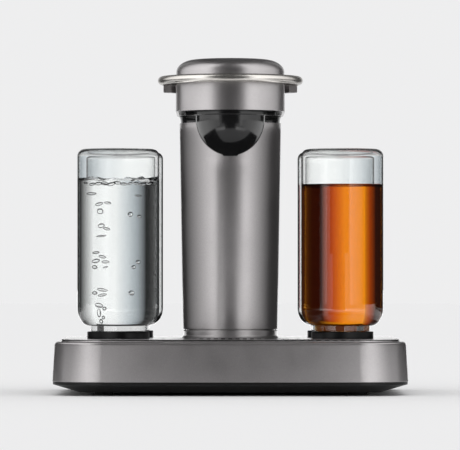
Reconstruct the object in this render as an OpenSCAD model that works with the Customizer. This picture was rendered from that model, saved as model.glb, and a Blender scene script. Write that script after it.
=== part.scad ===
// Countertop cocktail machine with four spirit bottles, a capsule head and a water tank.
// The front faces -Y, +Z is up, and the origin is on the floor below the middle of the base.

/* [Base] */
// Width of the base at the foot of its painted wall
base_w = 342; // [336:1:380]
// Depth of the base at the foot of its painted wall
base_d = 300; // [297:1:340]
// Corner radius of the base in plan
base_corner_r = 48; // [40:1:60]
// Height of the painted base wall
base_h = 38.3; // [37:0.1:50]
// Inward draft of the base wall from its foot to its top
base_draft = 2.2; // [0.5:0.1:4]
// Round on the top edge of the base wall
base_edge_r = 2; // [1:0.1:3]
// Thickness of the moulded walls
wall = 2.5; // [2:0.1:3]

/* [Bottom pan] */
// Height of the bottom pan
pan_h = 10.2; // [9:0.1:14]
// Inset of the pan's flat bottom from the base outline
pan_inset = 26; // [15:1:30]
// Height of the upright lip at the top of the pan
pan_lip_h = 2.7; // [2:0.1:4]
// Inset of the pan's lip from the painted wall
pan_lip_inset = 0.6; // [0.2:0.1:2]
// Thickness of the pan's floor
pan_floor_t = 2.5; // [2:0.1:3.5]
// Height of the rubber feet
foot_h = 3; // [2:0.1:6]
// Radius of the rubber feet
foot_r = 9; // [6:0.5:14]
// Distance of the feet from the middle, sideways
foot_x = 122; // [90:1:128]
// Distance of the feet from the middle, front to back
foot_y = 100; // [80:1:106]

/* [Deck] */
// Thickness of the deck plate
deck_t = 2.2; // [1.6:0.1:3]
// Inset of the deck plate from the top edge of the base
deck_inset = 6.5; // [4:0.5:9]
// Length of the touch panel
panel_l = 86; // [60:1:88]
// Depth of the touch panel from front to back
panel_d = 20; // [14:1:24]
// Distance of the touch panel's middle from the machine's middle
panel_x = 92; // [90:1:94]
// Distance of the touch panel from the front edge of the deck
panel_margin = 4; // [3:0.5:8]

/* [Docks] */
// Radius of the dock collars
dock_r = 30.3; // [29:0.1:33]
// Height of the dock collars above the deck
dock_h = 6.8; // [5:0.1:10]
// Depth of the dock socket below the deck
dock_depth = 10.7; // [9:0.1:13]
// Distance of the front docks from the middle
front_dock_x = 109; // [104:1:118]
// Place of the front docks, front to back
front_dock_y = -48; // [-60:1:-44]
// Distance of the rear docks from the middle
rear_dock_x = 107; // [103:1:118]
// Place of the rear docks, front to back
rear_dock_y = 47; // [42:1:56]

/* [Bottles] */
// Radius of the glass bottles
bottle_r = 40; // [36:0.5:41]
// Height of the glass above the dock collar
bottle_h = 177.2; // [140:0.2:220]
// Thickness of the glass
bottle_wall = 2.6; // [2:0.1:3.5]
// Thickness of the bottle's bottom, which stands uppermost
bottle_base_t = 5; // [3:0.5:8]
// Radius of the neck above the collar
bottle_neck_r = 26.7; // [25.8:0.1:28]
// Height of the neck above the collar
bottle_neck_h = 5.2; // [4:0.1:9]
// Height of the rounded shoulder
bottle_shoulder_h = 17; // [12:0.5:26]
// Round on the bottle's upper edge
bottle_edge_r = 7; // [5.5:0.5:10]
// Level of the clear spirit below the top of its bottle
clear_ullage = 29; // [15:0.5:90]
// Level of the amber spirit below the top of its bottle
amber_ullage = 34.5; // [15:0.5:90]

/* [Column] */
// Place of the column axis, front to back
column_y = 33; // [30:1:36]
// Radius of the column at its foot
column_r = 47; // [45:0.1:49]
// Radius of the column at its top
column_top_r = 50.3; // [48.5:0.1:51]
// Height of the tapered column
column_h = 204; // [180:1:240]
// Height of the foot collar below the seam
column_foot_h = 7.3; // [5:0.1:12]
// Width of the seam between foot collar and column
column_seam = 1; // [0.5:0.1:2]
// Height of the black ring between column and head
neck_h = 7.2; // [5:0.1:12]

/* [Head] */
// Radius of the head in plan
head_r = 52.7; // [52:0.1:56]
// Distance from the column axis to the nozzle axis
head_reach = 111; // [106:1:112]
// Height of the round front of the head
head_h = 28.5; // [26:0.5:36]
// Height of the low back of the head
saddle_h = 15.8; // [14:0.1:18]
// Radius of the lid
lid_r = 52.3; // [50:0.1:53]
// Height of the lid
lid_h = 21.8; // [18:0.1:30]
// Height of the upright part of the lid's side
lid_side_h = 8.8; // [7.5:0.1:10]
// Width of the lid's rounded shoulder
lid_shoulder_w = 19; // [10:0.5:26]
// Gap between the lid and the head below it
lid_gap = 0.5; // [0.3:0.1:1]

/* [Dome and nozzle] */
// Radius of the mixing dome
dome_r = 33.3; // [32:0.1:36]
// Distance of the dome's centre below the head
dome_drop = 7; // [5:0.5:10]
// Thickness of the dome
dome_wall = 2.4; // [2:0.1:3]
// Depth of the dome below its centre
dome_depth = 35.4; // [32:0.1:38]
// Radius of the nozzle lip
nozzle_r = 6.8; // [5.5:0.1:8]
// Radius of the nozzle bore
nozzle_bore_r = 3; // [2:0.1:4]
// Radius of the capsule cup
capsule_r = 22; // [18:0.5:22.5]
// Depth of the capsule cup
capsule_depth = 36; // [30:0.5:38]

/* [Handle] */
// Radius of the ring handle to the middle of its tube
ring_r = 66; // [64:0.5:67]
// Radius of the ring handle's tube
ring_tube_r = 4; // [3:0.1:4.5]
// Height of the ring's middle above the lid's lower edge
ring_rise = 0.8; // [0:0.1:2]
// Height of the yoke that carries the ring
yoke_h = 7.7; // [6:0.1:8.5]
// Width of the yoke's band
yoke_w = 7.5; // [6:0.1:9]
// Distance of the yoke's cut ends behind the nozzle axis
yoke_end = 20; // [10:1:40]
// Radius of the hinge pin
pin_r = 2.5; // [2:0.1:3]

/* [Water tank] */
// Width of the water tank
tank_w = 92; // [80:1:96]
// Height of the water tank
tank_h = 176; // [120:1:185]
// Distance of the tank's rear face from the rear edge of the base
tank_margin = 14; // [12:1:22]
// Thickness of the tank's walls
tank_wall = 2.2; // [1.8:0.1:3]
// Height of the tank's lid
tank_lid_h = 6; // [4:0.5:10]

/* [Drip tray] */
// Radius of the drip grate
grate_r = 45; // [40:0.5:46]
// Width of the grate's slots
slot_w = 4; // [3:0.5:5]
// Width of the bars between the slots
bar_w = 3; // [2.5:0.5:4]
// Depth of the drip tray below the deck
tray_depth = 14; // [10:0.5:16]

/* [Pumps and tubes] */
// Radius of the pump heads
pump_r = 17; // [15:0.5:18]
// Height of the pump heads
pump_h = 15; // [12:0.5:16]
// Radius of the pump motors
motor_r = 12; // [9:0.5:13]
// Height of the pump motors
motor_h = 20; // [16:0.5:21]
// Radius of the motor shafts
shaft_r = 1.5; // [1:0.1:2]
// Outer radius of the tubes
tube_r = 3; // [2:0.1:3.2]
// Distance of the spirit pumps from the middle
pump_x = 52; // [48:1:54]
// Place of the front spirit pumps, front to back
front_pump_y = 8; // [6:1:10]
// Place of the rear spirit pumps, front to back
rear_pump_y = 54; // [50:1:56]
// Place of the water pump, front to back
water_pump_y = 70; // [68:1:74]

/* [Fits] */
// Gap between a part that lifts or turns and what it sits in
lift_gap = 0.3; // [0.2:0.05:0.5]
// Radial gap of pins and shafts in their bores
pin_gap = 0.05; // [0.02:0.01:0.1]
// Gap around fixed parts let into a hole
let_in_gap = 0.2; // [0.1:0.05:0.4]

/* [Hidden] */
$fn = 64;

// Heights, from the floor up
shell_z = foot_h + pan_h;
deck_z = shell_z + base_h;
deck_top = deck_z + deck_t;
pan_floor_z = foot_h + pan_floor_t;
ceiling_z = deck_z - wall;
column_z = deck_top + column_foot_h + column_seam;
neck_z = column_z + column_h;
head_z = neck_z + neck_h;
saddle_z = head_z + saddle_h;
lid_z = head_z + head_h + lid_gap;

// Plan places
nozzle_y = column_y - head_reach;
tank_rear = base_d / 2 - tank_margin;
tank_column_gap = 2.3;
tank_front = column_y + head_r + tank_column_gap;
tank_hug_r = tank_front - column_y;
tank_valve_y = (tank_front + tank_rear) / 2;
dock_places = [
    [-front_dock_x, front_dock_y],
    [front_dock_x, front_dock_y],
    [-rear_dock_x, rear_dock_y],
    [rear_dock_x, rear_dock_y]
];
foot_places = [for (x = [-foot_x, foot_x], y = [-foot_y, foot_y]) [x, y]];

// Docks and bottle caps
dock_spigot_r = dock_r - 1.1;
dock_bore_r = bottle_neck_r - 1.1;
dock_floor_t = 2.5;
dock_floor_z = deck_top - dock_depth;
barb_r = tube_r - 0.5;
barb_bore_r = barb_r - 1;
barb_l = 5;
seal_r = 10;
seal_tube_r = 1;
cap_z = dock_floor_z + 2 * seal_tube_r + lift_gap;
cap_r = dock_bore_r - lift_gap - 0.1;
cap_wall = 2;
cap_floor_t = 2.4;
seat_z = deck_top + dock_h + lift_gap;
mouth_z = cap_z + cap_floor_t;
finish_r = cap_r - cap_wall - pin_gap;
finish_bore_r = finish_r - bottle_wall;
air_vent_x = 13;
air_vent_r = 2.6;
air_vent_bore_r = 1.2;
valve_r = 6;
valve_h = 7;
bottle_top = seat_z + bottle_h;

// Column and head
column_wall = 2.8;
column_spigot_h = 5;
column_bore_r = column_r - column_wall;
riser_hole_r = 40;
floor_plate_t = 2.5;
ledge_w = 4;
ledge_t = 2.5;
flange_t = 2.5;
holder_z = head_z + head_h - 1;
ledge_z = holder_z - flange_t - ledge_t;
dome_z = head_z - dome_drop;
dome_mouth_r = dome_r - dome_wall;
nozzle_flare = 0.8;
nozzle_wall = 2;
tip_bore_r = nozzle_bore_r + nozzle_wall;
dome_tip_r = nozzle_r + nozzle_flare;
dome_tip_turn = -acos(dome_tip_r / dome_r);
dome_tip_z = dome_z + dome_depth * sin(dome_tip_turn);
hinge_back = 12;
hinge_rise = 8;
knuckle_wall = 2;
hinge_y = nozzle_y + ring_r + hinge_back;
hinge_z = saddle_z + hinge_rise;
knuckle_r = pin_r + knuckle_wall;
knuckle_half = 14;
lug_t = 5.6;
lug_gap = 0.4;
ring_z = lid_z + ring_rise;
yoke_bite = 1.7;
yoke_in = 1.75;
yoke_z = ring_z - ring_tube_r + yoke_bite - yoke_h;
yoke_r = ring_r - yoke_in;
liner_drop = 1.5;
liner_z = lid_z + liner_drop;
liner_t = 2.5;

// Water tank and its dock
tank_corner_r = 10;
tank_seat_t = 2.5;
tank_z = deck_top + tank_seat_t + lift_gap;
tank_socket_r = 8.4;
tank_socket_wall = 2.6;
tank_socket_depth = 11;
tank_socket_floor_t = 2;
tank_socket_z = deck_z - tank_socket_depth;
tank_valve_r = tank_socket_r - lift_gap;

// Drip tray
tray_ledge_w = 1.7;
tray_r = grate_r + tray_ledge_w;
tray_wall = 1.6;
tray_rim_w = 9;
tray_rim_z = deck_z + lift_gap;
tray_rim_t = deck_t - lift_gap;
grate_t = deck_t - let_in_gap;
tray_foot_r = 4;
tray_rest_w = 2;

// Pumps: place, and the turn of the inlet from +X
pump_places = [
    [-pump_x, front_pump_y, 180],
    [pump_x, front_pump_y, 0],
    [-pump_x, rear_pump_y, 180],
    [pump_x, rear_pump_y, 0],
    [0, water_pump_y, 90]
];
pump_z = pan_floor_z + motor_h;
pump_wall = 2;
pump_port_z = pump_z + pump_h / 2;
port_l = 3;
port_reach = pump_r + port_l;
rotor_gap = 0.6;
rotor_plate_t = 1.6;
roller_r = 3.2;
rotor_r = pump_r - pump_wall - 2;
tube_sides = 8;
bend_steps = 5;
bend_reach = 7;

// Risers in the column and the manifold they feed
front_riser_x = 10;
rear_riser_x = 22;
water_riser_in = 11;
manifold_back = 21;
manifold_rear = nozzle_y + head_r + manifold_back;
manifold_d = 14;
manifold_h = 9.5;
manifold_z = head_z + floor_plate_t;
riser_end_z = manifold_z + manifold_h / 2;

// Boards
board_t = 1.6;
control_board_drop = 5;
control_board_z = ceiling_z - control_board_drop;
standoff_h = 4;
power_board_z = pan_floor_z + standoff_h;
power_board_side = 75;
power_board_back = 52;
power_board_x = power_board_side - base_w / 2;
power_board_y = base_d / 2 - power_board_back;
power_board_l = 62;
power_board_d = 38;
standoff_r = 3;
gland_x = -60;
gland_rise = 14;
gland_z = shell_z + gland_rise;
gland_r = 6;
gland_bore_r = 3.5;

// Colours
grey_paint = [0.45, 0.43, 0.44];
satin_black = [0.08, 0.08, 0.08];
gloss_black = [0.03, 0.03, 0.03];
steel = [0.78, 0.76, 0.72];
clear_glass = [0.85, 0.9, 0.92, 0.35];
clear_spirit = [0.75, 0.8, 0.84, 0.5];
amber_spirit = [0.65, 0.25, 0.04, 0.8];
smoky_plastic = [0.4, 0.42, 0.45, 0.5];
milky_silicone = [0.85, 0.85, 0.82];
board_green = [0.08, 0.3, 0.16];
motor_grey = [0.6, 0.6, 0.62];

// Points of an elliptical arc about [x, y], from angle a to angle b
function arc(x, y, rx, ry, a, b, steps = 8) =
    [for (i = [0 : steps]) let (t = a + (b - a) * i / steps) [x + rx * cos(t), y + ry * sin(t)]];

// Corner points of a rounded rectangle about the origin
function rounded_rect(w, d, r) = concat(
    arc(w / 2 - r, d / 2 - r, r, r, 0, 90),
    arc(r - w / 2, d / 2 - r, r, r, 90, 180),
    arc(r - w / 2, r - d / 2, r, r, 180, 270),
    arc(w / 2 - r, r - d / 2, r, r, 270, 360)
);

// A rounded box whose wall follows edge, a list of [inset, height] from its foot to its top
module drafted_box(w, d, r, edge) {
    foot = edge[0][1];
    top = edge[len(edge) - 1][1];
    span_x = w / 2 - r;
    span_y = d / 2 - r;
    right = [for (p = edge) [w / 2 - p[0], p[1]]];
    left = [for (i = [len(edge) - 1 : -1 : 0]) [-right[i][0], right[i][1]]];
    rear = [for (p = edge) [d / 2 - p[0], p[1]]];
    corner = [for (p = edge) [r - p[0], p[1]]];
    rotate([90, 0, 0])
        linear_extrude(2 * span_y, center = true)
            polygon(concat(right, left));
    for (turn = [0, 180])
        rotate([0, 0, turn])
            rotate([90, 0, 90])
                linear_extrude(2 * span_x, center = true)
                    polygon(concat([[span_y, foot]], rear, [[span_y, top]]));
    for (i = [0 : 3])
        translate([(i == 0 || i == 3 ? 1 : -1) * span_x, (i < 2 ? 1 : -1) * span_y, 0])
            rotate([0, 0, 90 * i])
                rotate_extrude(angle = 90)
                    polygon(concat([[0, foot]], corner, [[0, top]]));
}

// A block with round ends about the nozzle axis and the column axis
module stadium(r, h) {
    translate([0, nozzle_y, 0])
        rotate([0, 0, 180])
            rotate_extrude(angle = 180)
                square([r, h]);
    translate([-r, nozzle_y, 0])
        cube([2 * r, head_reach, h]);
    translate([0, column_y, 0])
        rotate_extrude(angle = 180)
            square([r, h]);
}

// A cylinder that stands at [x, y] from height a to height b
module post(x, y, r, a, b) {
    translate([x, y, a])
        cylinder(r = r, h = b - a);
}

// A revolved outline of [radius, height] about the upright line through [x, y]
module turned(x, y, outline) {
    translate([x, y, 0])
        rotate_extrude()
            polygon(outline);
}

// A route with each corner rounded by a short curve
function rounded_route(corners) = [
    for (i = [0 : len(corners) - 1])
        each (i == 0 || i == len(corners) - 1
            ? [corners[i]]
            : bend(corners[i - 1], corners[i], corners[i + 1]))
];
function toward(from, to, reach) = from + (to - from) * reach / norm(to - from);
function bend(before, corner, after) =
    let (a = toward(corner, before, bend_reach), b = toward(corner, after, bend_reach))
    [for (i = [0 : bend_steps])
        let (t = i / bend_steps) (1 - t) * (1 - t) * a + 2 * t * (1 - t) * corner + t * t * b];
function unit(v) = v / norm(v);

// A round tube swept along a route, with rings turned square to it
module tube(corners) {
    path = rounded_route(corners);
    last = len(path) - 1;
    aside = [1, 1, 0];
    rings = [for (i = [0 : last])
        let (
            along = unit(path[min(i + 1, last)] - path[max(i - 1, 0)]),
            u = unit(cross(along, aside)),
            v = cross(along, u)
        )
        for (k = [0 : tube_sides - 1])
            path[i] + tube_r * (cos(360 * k / tube_sides) * u + sin(360 * k / tube_sides) * v)];
    sides = [for (i = [0 : last - 1], k = [0 : tube_sides - 1])
        let (a = i * tube_sides + k, b = i * tube_sides + (k + 1) % tube_sides)
        each [[a, b, b + tube_sides], [a, b + tube_sides, a + tube_sides]]];
    start = [for (k = [1 : tube_sides - 2]) [0, k + 1, k]];
    tip = last * tube_sides;
    end = [for (k = [1 : tube_sides - 2]) [tip, tip + k, tip + k + 1]];
    polyhedron(points = rings, faces = concat(sides, start, end));
}

module bottom_pan() {
    lip_z = pan_h - pan_lip_h;
    color(satin_black)
        translate([0, 0, foot_h])
            difference() {
                drafted_box(base_w, base_d, base_corner_r, [
                    [pan_inset, 0],
                    [pan_lip_inset, lip_z],
                    [pan_lip_inset, pan_h]
                ]);
                drafted_box(base_w - 2 * wall, base_d - 2 * wall, base_corner_r - wall, [
                    [pan_inset, pan_floor_t],
                    [pan_lip_inset, lip_z + pan_floor_t],
                    [pan_lip_inset, pan_h + 1]
                ]);
                vent_slots();
            }
}

// Rows of cooling slots in the pan's floor, below the motors
module vent_slots() {
    field_x = 86;
    slot_l = 26;
    slot_t = 3;
    pitch = 8;
    for (side = [-1, 1], i = [-2 : 2])
        translate([side * field_x - slot_l / 2, i * pitch - slot_t / 2, -1])
            cube([slot_l, slot_t, pan_floor_t + 2]);
}

module base_shell() {
    edge = concat(
        [[0, 0]],
        arc(base_draft + base_edge_r, base_h - base_edge_r, base_edge_r, base_edge_r, 180, 90, 5)
    );
    standoff_in = 6;
    color(grey_paint) {
        difference() {
            translate([0, 0, shell_z])
                drafted_box(base_w, base_d, base_corner_r, edge);
            translate([0, 0, shell_z])
                drafted_box(base_w - 2 * wall, base_d - 2 * wall, base_corner_r - wall, [
                    [0, -1],
                    [base_draft, base_h - wall]
                ]);
            deck_holes(0);
            gland_hole();
        }
        for (x = [-1, 1], y = [-1, 1])
            post(panel_x + x * (panel_l / 2 - standoff_in), panel_y() + y * standoff_in, standoff_r,
                control_board_z + board_t, ceiling_z);
    }
}

// Holes that pass through the deck and the shell below it; rim widens the drip tray's hole
module deck_holes(rim) {
    for (p = dock_places)
        post(p[0], p[1], dock_spigot_r + let_in_gap, ceiling_z - 1, deck_top + 1);
    post(0, nozzle_y, tray_r + 2 * lift_gap + rim, ceiling_z - 1, deck_top + 1);
    post(0, column_y, riser_hole_r, ceiling_z - 1, deck_top + 1);
    post(0, tank_valve_y, tank_socket_r + tank_socket_wall + let_in_gap, ceiling_z - 1, deck_top + 1);
}

module gland_hole() {
    cut_l = 12;
    translate([gland_x, base_d / 2 + 1, gland_z])
        rotate([90, 0, 0])
            cylinder(r = gland_r + let_in_gap, h = cut_l);
}

function deck_w() = base_w - 2 * (base_draft + deck_inset);
function deck_d() = base_d - 2 * (base_draft + deck_inset);
function panel_y() = -deck_d() / 2 + panel_margin + panel_d / 2;

module deck_plate() {
    pocket = deck_t / 2;
    color(grey_paint)
        difference() {
            translate([0, 0, deck_z])
                linear_extrude(deck_t)
                    polygon(rounded_rect(deck_w(), deck_d(), base_corner_r - base_draft - deck_inset));
            deck_holes(tray_rim_w);
            translate([panel_x, panel_y(), deck_top - pocket])
                linear_extrude(pocket + 1)
                    polygon(rounded_rect(panel_l + 2 * let_in_gap, panel_d + 2 * let_in_gap, 4));
        }
}

module rubber_feet() {
    color(satin_black)
        for (p = foot_places)
            turned(p[0], p[1], [[0, 0], [foot_r - 1, 0], [foot_r, 1], [foot_r, foot_h], [0, foot_h]]);
}

// A dock: collar on the deck, socket below it, and a barb for the supply tube
module bottle_dock(place) {
    floor_low = dock_floor_z - dock_floor_t;
    chamfer = 0.6;
    collar_z = deck_top + dock_h;
    color(satin_black)
        turned(place[0], place[1], [
            [barb_bore_r, floor_low - barb_l],
            [barb_r, floor_low - barb_l],
            [barb_r, floor_low],
            [dock_spigot_r, floor_low],
            [dock_spigot_r, deck_top],
            [dock_r, deck_top],
            [dock_r, collar_z - chamfer],
            [dock_r - chamfer, collar_z],
            [dock_bore_r, collar_z],
            [dock_bore_r, dock_floor_z],
            [barb_bore_r, dock_floor_z]
        ]);
}

module dock_seals() {
    color(satin_black)
        for (p = dock_places)
            translate([p[0], p[1], dock_floor_z + seal_tube_r])
                rotate_extrude()
                    translate([seal_r, 0])
                        circle(seal_tube_r);
}

module touch_panel() {
    color(gloss_black)
        translate([panel_x, panel_y(), deck_top - deck_t / 2])
            linear_extrude(deck_t / 2 + 0.3)
                polygon(rounded_rect(panel_l, panel_d, 3.8));
}

// A circuit board with rows of parts on it
module board(l, d, parts) {
    translate([-l / 2, -d / 2, 0])
        cube([l, d, board_t]);
    for (p = parts)
        translate([p[0] - p[2] / 2, p[1] - p[3] / 2, p[4] < 0 ? p[4] : board_t])
            cube([p[2], p[3], abs(p[4])]);
}

module control_board() {
    chip = 9;
    color(board_green)
        translate([panel_x, panel_y(), control_board_z])
            board(panel_l - 4, panel_d, [for (i = [-1 : 1]) [i * 2.6 * chip, 0, chip, chip, -2]]);
}

module power_board() {
    transformer = [20, 24, 18];
    capacitor = [12, 12, 14];
    relay = [10, 16, 8];
    part_gap = 4;
    standoff_in = 5;
    transformer_x = -power_board_l / 2 + part_gap + transformer[0] / 2;
    capacitor_x = transformer_x + transformer[0] / 2 + part_gap + capacitor[0] / 2;
    relay_x = capacitor_x + capacitor[0] / 2 + part_gap + relay[0] / 2;
    color(board_green) {
        translate([power_board_x, power_board_y, power_board_z])
            board(power_board_l, power_board_d, [
                concat([transformer_x, 0], transformer),
                concat([capacitor_x, 0], capacitor),
                concat([relay_x, 0], relay)
            ]);
        for (x = [-1, 1], y = [-1, 1])
            post(power_board_x + x * (power_board_l / 2 - standoff_in),
                power_board_y + y * (power_board_d / 2 - standoff_in), standoff_r, pan_floor_z, power_board_z);
    }
}

module cord_gland() {
    flange_t = 2;
    flange_r = gland_r + 2.5;
    lean = base_draft / base_h;
    seat = lean * flange_r + let_in_gap;
    wall_y = base_d / 2 - wall - lean * gland_rise;
    color(satin_black)
        translate([gland_x, wall_y, gland_z])
            rotate([-90, 0, 0])
                rotate_extrude()
                    polygon([
                        [gland_bore_r, -flange_t - seat],
                        [flange_r, -flange_t - seat],
                        [flange_r, -seat],
                        [gland_r, -seat],
                        [gland_r, wall - seat],
                        [gland_bore_r, wall - seat]
                    ]);
}

// Outline of the water tank in plan, hugging the column
module tank_plan(inset) {
    rear = tank_rear - inset;
    front = column_y + tank_hug_r * 0.5;
    difference() {
        translate([0, (front + rear) / 2])
            polygon(rounded_rect(tank_w - 2 * inset, rear - front, tank_corner_r - inset));
        translate([0, column_y])
            circle(tank_hug_r + inset);
    }
}

module tank_dock() {
    seat_inset = 3;
    socket_low = tank_socket_z - tank_socket_floor_t;
    color(satin_black) {
        difference() {
            translate([0, 0, deck_top])
                linear_extrude(tank_seat_t)
                    tank_plan(seat_inset);
            post(0, tank_valve_y, tank_socket_r, deck_top - 1, deck_top + tank_seat_t + 1);
        }
        turned(0, tank_valve_y, [
            [barb_bore_r, socket_low - barb_l],
            [barb_r, socket_low - barb_l],
            [barb_r, socket_low],
            [tank_socket_r + tank_socket_wall, socket_low],
            [tank_socket_r + tank_socket_wall, deck_top],
            [tank_socket_r, deck_top],
            [tank_socket_r, tank_socket_z],
            [barb_bore_r, tank_socket_z]
        ]);
    }
}

module pump_motors() {
    color(motor_grey)
        for (p = pump_places) {
            post(p[0], p[1], motor_r, pan_floor_z, pump_z);
            post(p[0], p[1], shaft_r, pump_z, pump_z + pump_h - 2);
        }
}

// Open cups for the rotors, with a barb on each side for the tubes
module pump_housings() {
    color(satin_black)
        for (p = pump_places)
            translate([p[0], p[1], 0])
                rotate([0, 0, p[2]])
                    difference() {
                        union() {
                            post(0, 0, pump_r, pump_z, pump_z + pump_h);
                            translate([-port_reach, 0, pump_port_z])
                                rotate([0, 90, 0])
                                    cylinder(r = barb_r, h = 2 * port_reach);
                        }
                        post(0, 0, pump_r - pump_wall, pump_z + pump_wall, pump_z + pump_h + 1);
                        post(0, 0, 2 * shaft_r, pump_z - 1, pump_z + pump_h);
                    }
}

// A rotor: two plates, three rollers between them, and a hub on the motor shaft
module pump_rotor(place) {
    low = pump_z + pump_wall + rotor_gap;
    high = pump_z + pump_h;
    roller_reach = rotor_r - roller_r - 0.8;
    color(milky_silicone)
        difference() {
            union() {
                post(place[0], place[1], rotor_r, low, low + rotor_plate_t);
                post(place[0], place[1], rotor_r, high - rotor_plate_t, high);
                post(place[0], place[1], 2.4 * shaft_r, low, high);
                for (i = [0 : 2])
                    post(place[0] + roller_reach * cos(120 * i), place[1] + roller_reach * sin(120 * i),
                        roller_r, low, high);
            }
            post(place[0], place[1], shaft_r + pin_gap, low - 1, high + 1);
        }
}

module supply_tubes() {
    sag = 10;
    low_z = pump_port_z - sag;
    start_z = dock_floor_z - dock_floor_t - barb_l;
    tank_start_z = tank_socket_z - tank_socket_floor_t - barb_l;
    inlet_x = pump_x + port_reach;
    inlet_y = water_pump_y + port_reach;
    lead_in = 11;
    color(milky_silicone) {
        for (side = [0, 1])
            mirror([side, 0, 0]) {
                tube([
                    [front_dock_x, front_dock_y, start_z],
                    [front_dock_x, front_dock_y, low_z],
                    [inlet_x + lead_in, front_pump_y, pump_port_z],
                    [inlet_x, front_pump_y, pump_port_z]
                ]);
                tube([
                    [rear_dock_x, rear_dock_y, start_z],
                    [rear_dock_x, rear_dock_y, low_z],
                    [inlet_x + lead_in, rear_pump_y, pump_port_z],
                    [inlet_x, rear_pump_y, pump_port_z]
                ]);
            }
        tube([
            [0, tank_valve_y, tank_start_z],
            [0, tank_valve_y, low_z],
            [0, inlet_y + lead_in, pump_port_z],
            [0, inlet_y, pump_port_z]
        ]);
    }
}

module riser_tubes() {
    outlet_x = pump_x - port_reach;
    outlet_y = water_pump_y - port_reach;
    color(milky_silicone) {
        for (side = [0, 1])
            mirror([side, 0, 0]) {
                riser(outlet_x, front_pump_y, front_riser_x, front_pump_y);
                riser(outlet_x, rear_pump_y, rear_riser_x, rear_pump_y);
            }
        riser(0, outlet_y, 0, outlet_y - water_riser_in);
    }
}

// A tube from a pump outlet at [x, y] up the column at [up_x, up_y] and forward to the manifold
module riser(x, y, up_x, up_y) {
    tube([
        [x, y, pump_port_z],
        [up_x, up_y, pump_port_z],
        [up_x, up_y, riser_end_z],
        [up_x, manifold_rear, riser_end_z]
    ]);
}

module column_foot() {
    flare = 1.6;
    setback = 0.2;
    top = deck_top + column_foot_h;
    color(grey_paint)
        turned(0, column_y, [
            [riser_hole_r, deck_top],
            [column_r + flare, deck_top],
            [column_r - setback, deck_top + flare],
            [column_r - setback, top],
            [column_bore_r - let_in_gap, top],
            [column_bore_r - let_in_gap, top + column_seam + column_spigot_h],
            [riser_hole_r, top + column_seam + column_spigot_h]
        ]);
}

module column_shell() {
    rim = 0.6;
    taper = column_top_r - column_r;
    color(grey_paint)
        turned(0, column_y, [
            [column_bore_r, column_z],
            [column_r - rim, column_z],
            [column_r, column_z + rim],
            [column_top_r, neck_z - rim],
            [column_top_r - rim, neck_z],
            [column_bore_r + taper, neck_z],
            [column_bore_r, column_z + 2 * column_spigot_h]
        ]);
}

module neck_ring() {
    waist = 1.2;
    lip = 1;
    throat_r = head_r - 0.7;
    spigot_h = 6;
    spigot_r = column_top_r - column_wall - 0.8;
    color(satin_black)
        turned(0, column_y, concat(
            [
                [riser_hole_r, neck_z - spigot_h],
                [spigot_r, neck_z - spigot_h],
                [spigot_r, neck_z],
                [column_top_r - waist, neck_z]
            ],
            arc(throat_r, neck_z + lip, throat_r - column_top_r + waist, neck_h - lip, 180, 90),
            [[riser_hole_r, head_z]]
        ));
}

module head_shell() {
    bore_r = head_r - wall;
    color(grey_paint) {
        difference() {
            union() {
                translate([0, 0, head_z])
                    stadium(head_r, saddle_h);
                post(0, nozzle_y, head_r, saddle_z, head_z + head_h);
            }
            translate([0, 0, head_z - 1])
                stadium(bore_r, saddle_h - wall + 1);
            post(0, nozzle_y, bore_r, saddle_z - 2 * wall, head_z + head_h + 1);
        }
        turned(0, nozzle_y, [
            [bore_r - ledge_w, ledge_z],
            [bore_r, ledge_z],
            [bore_r, ledge_z + ledge_t],
            [bore_r - ledge_w, ledge_z + ledge_t]
        ]);
    }
}

module head_floor() {
    color(satin_black)
        difference() {
            translate([0, 0, head_z])
                stadium(head_r - wall - let_in_gap, floor_plate_t);
            post(0, nozzle_y, dome_mouth_r, head_z - 1, head_z + floor_plate_t + 1);
            post(0, column_y, riser_hole_r, head_z - 1, head_z + floor_plate_t + 1);
        }
}

// A crowned cover on the low back of the head, cut off behind the hinge
module rear_cover() {
    crown_r = head_r - 2;
    crown_h = 10;
    hinge_room = 12;
    front = hinge_y + hinge_room;
    color(grey_paint)
        intersection() {
            translate([0, column_y, saddle_z])
                rotate_extrude()
                    polygon(concat([[0, 0], [crown_r, 0]], arc(0, 2, crown_r, crown_h - 2, 0, 90, 12)));
            translate([-head_r, front, saddle_z - 1])
                cube([2 * head_r, 2 * head_r, crown_h + 2]);
        }
}

module mixing_dome() {
    collar_r = dome_r + 2.7;
    collar_h = 3.6;
    inner_r = dome_r - dome_wall;
    inner_turn = -acos(tip_bore_r / inner_r);
    lug_reach = dome_r + 11;
    lug_w = 9;
    color(gloss_black) {
        turned(0, nozzle_y, concat(
            [[dome_mouth_r, head_z], [dome_mouth_r, dome_z]],
            arc(0, dome_z, inner_r, dome_depth - dome_wall, inner_turn / 8, inner_turn, 12),
            [[tip_bore_r, dome_tip_z]],
            arc(0, dome_z, dome_r, dome_depth, dome_tip_turn, 0, 14),
            [[dome_r, head_z - collar_h], [collar_r, head_z - collar_h], [collar_r, head_z]]
        ));
        difference() {
            translate([-lug_reach, nozzle_y - lug_w / 2, head_z - collar_h])
                cube([2 * lug_reach, lug_w, collar_h]);
            post(0, nozzle_y, dome_r + 1, head_z - collar_h - 1, head_z + 1);
        }
    }
}

module nozzle() {
    lip_h = 1.3;
    stem_h = 4;
    stem_r = tip_bore_r - pin_gap;
    lip_z = dome_tip_z - lip_h;
    color(gloss_black)
        turned(0, nozzle_y, [
            [nozzle_bore_r, lip_z],
            [nozzle_r, lip_z],
            [dome_tip_r, dome_tip_z],
            [stem_r, dome_tip_z],
            [stem_r, dome_tip_z + stem_h],
            [nozzle_bore_r, dome_tip_z + stem_h]
        ]);
}

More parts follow.
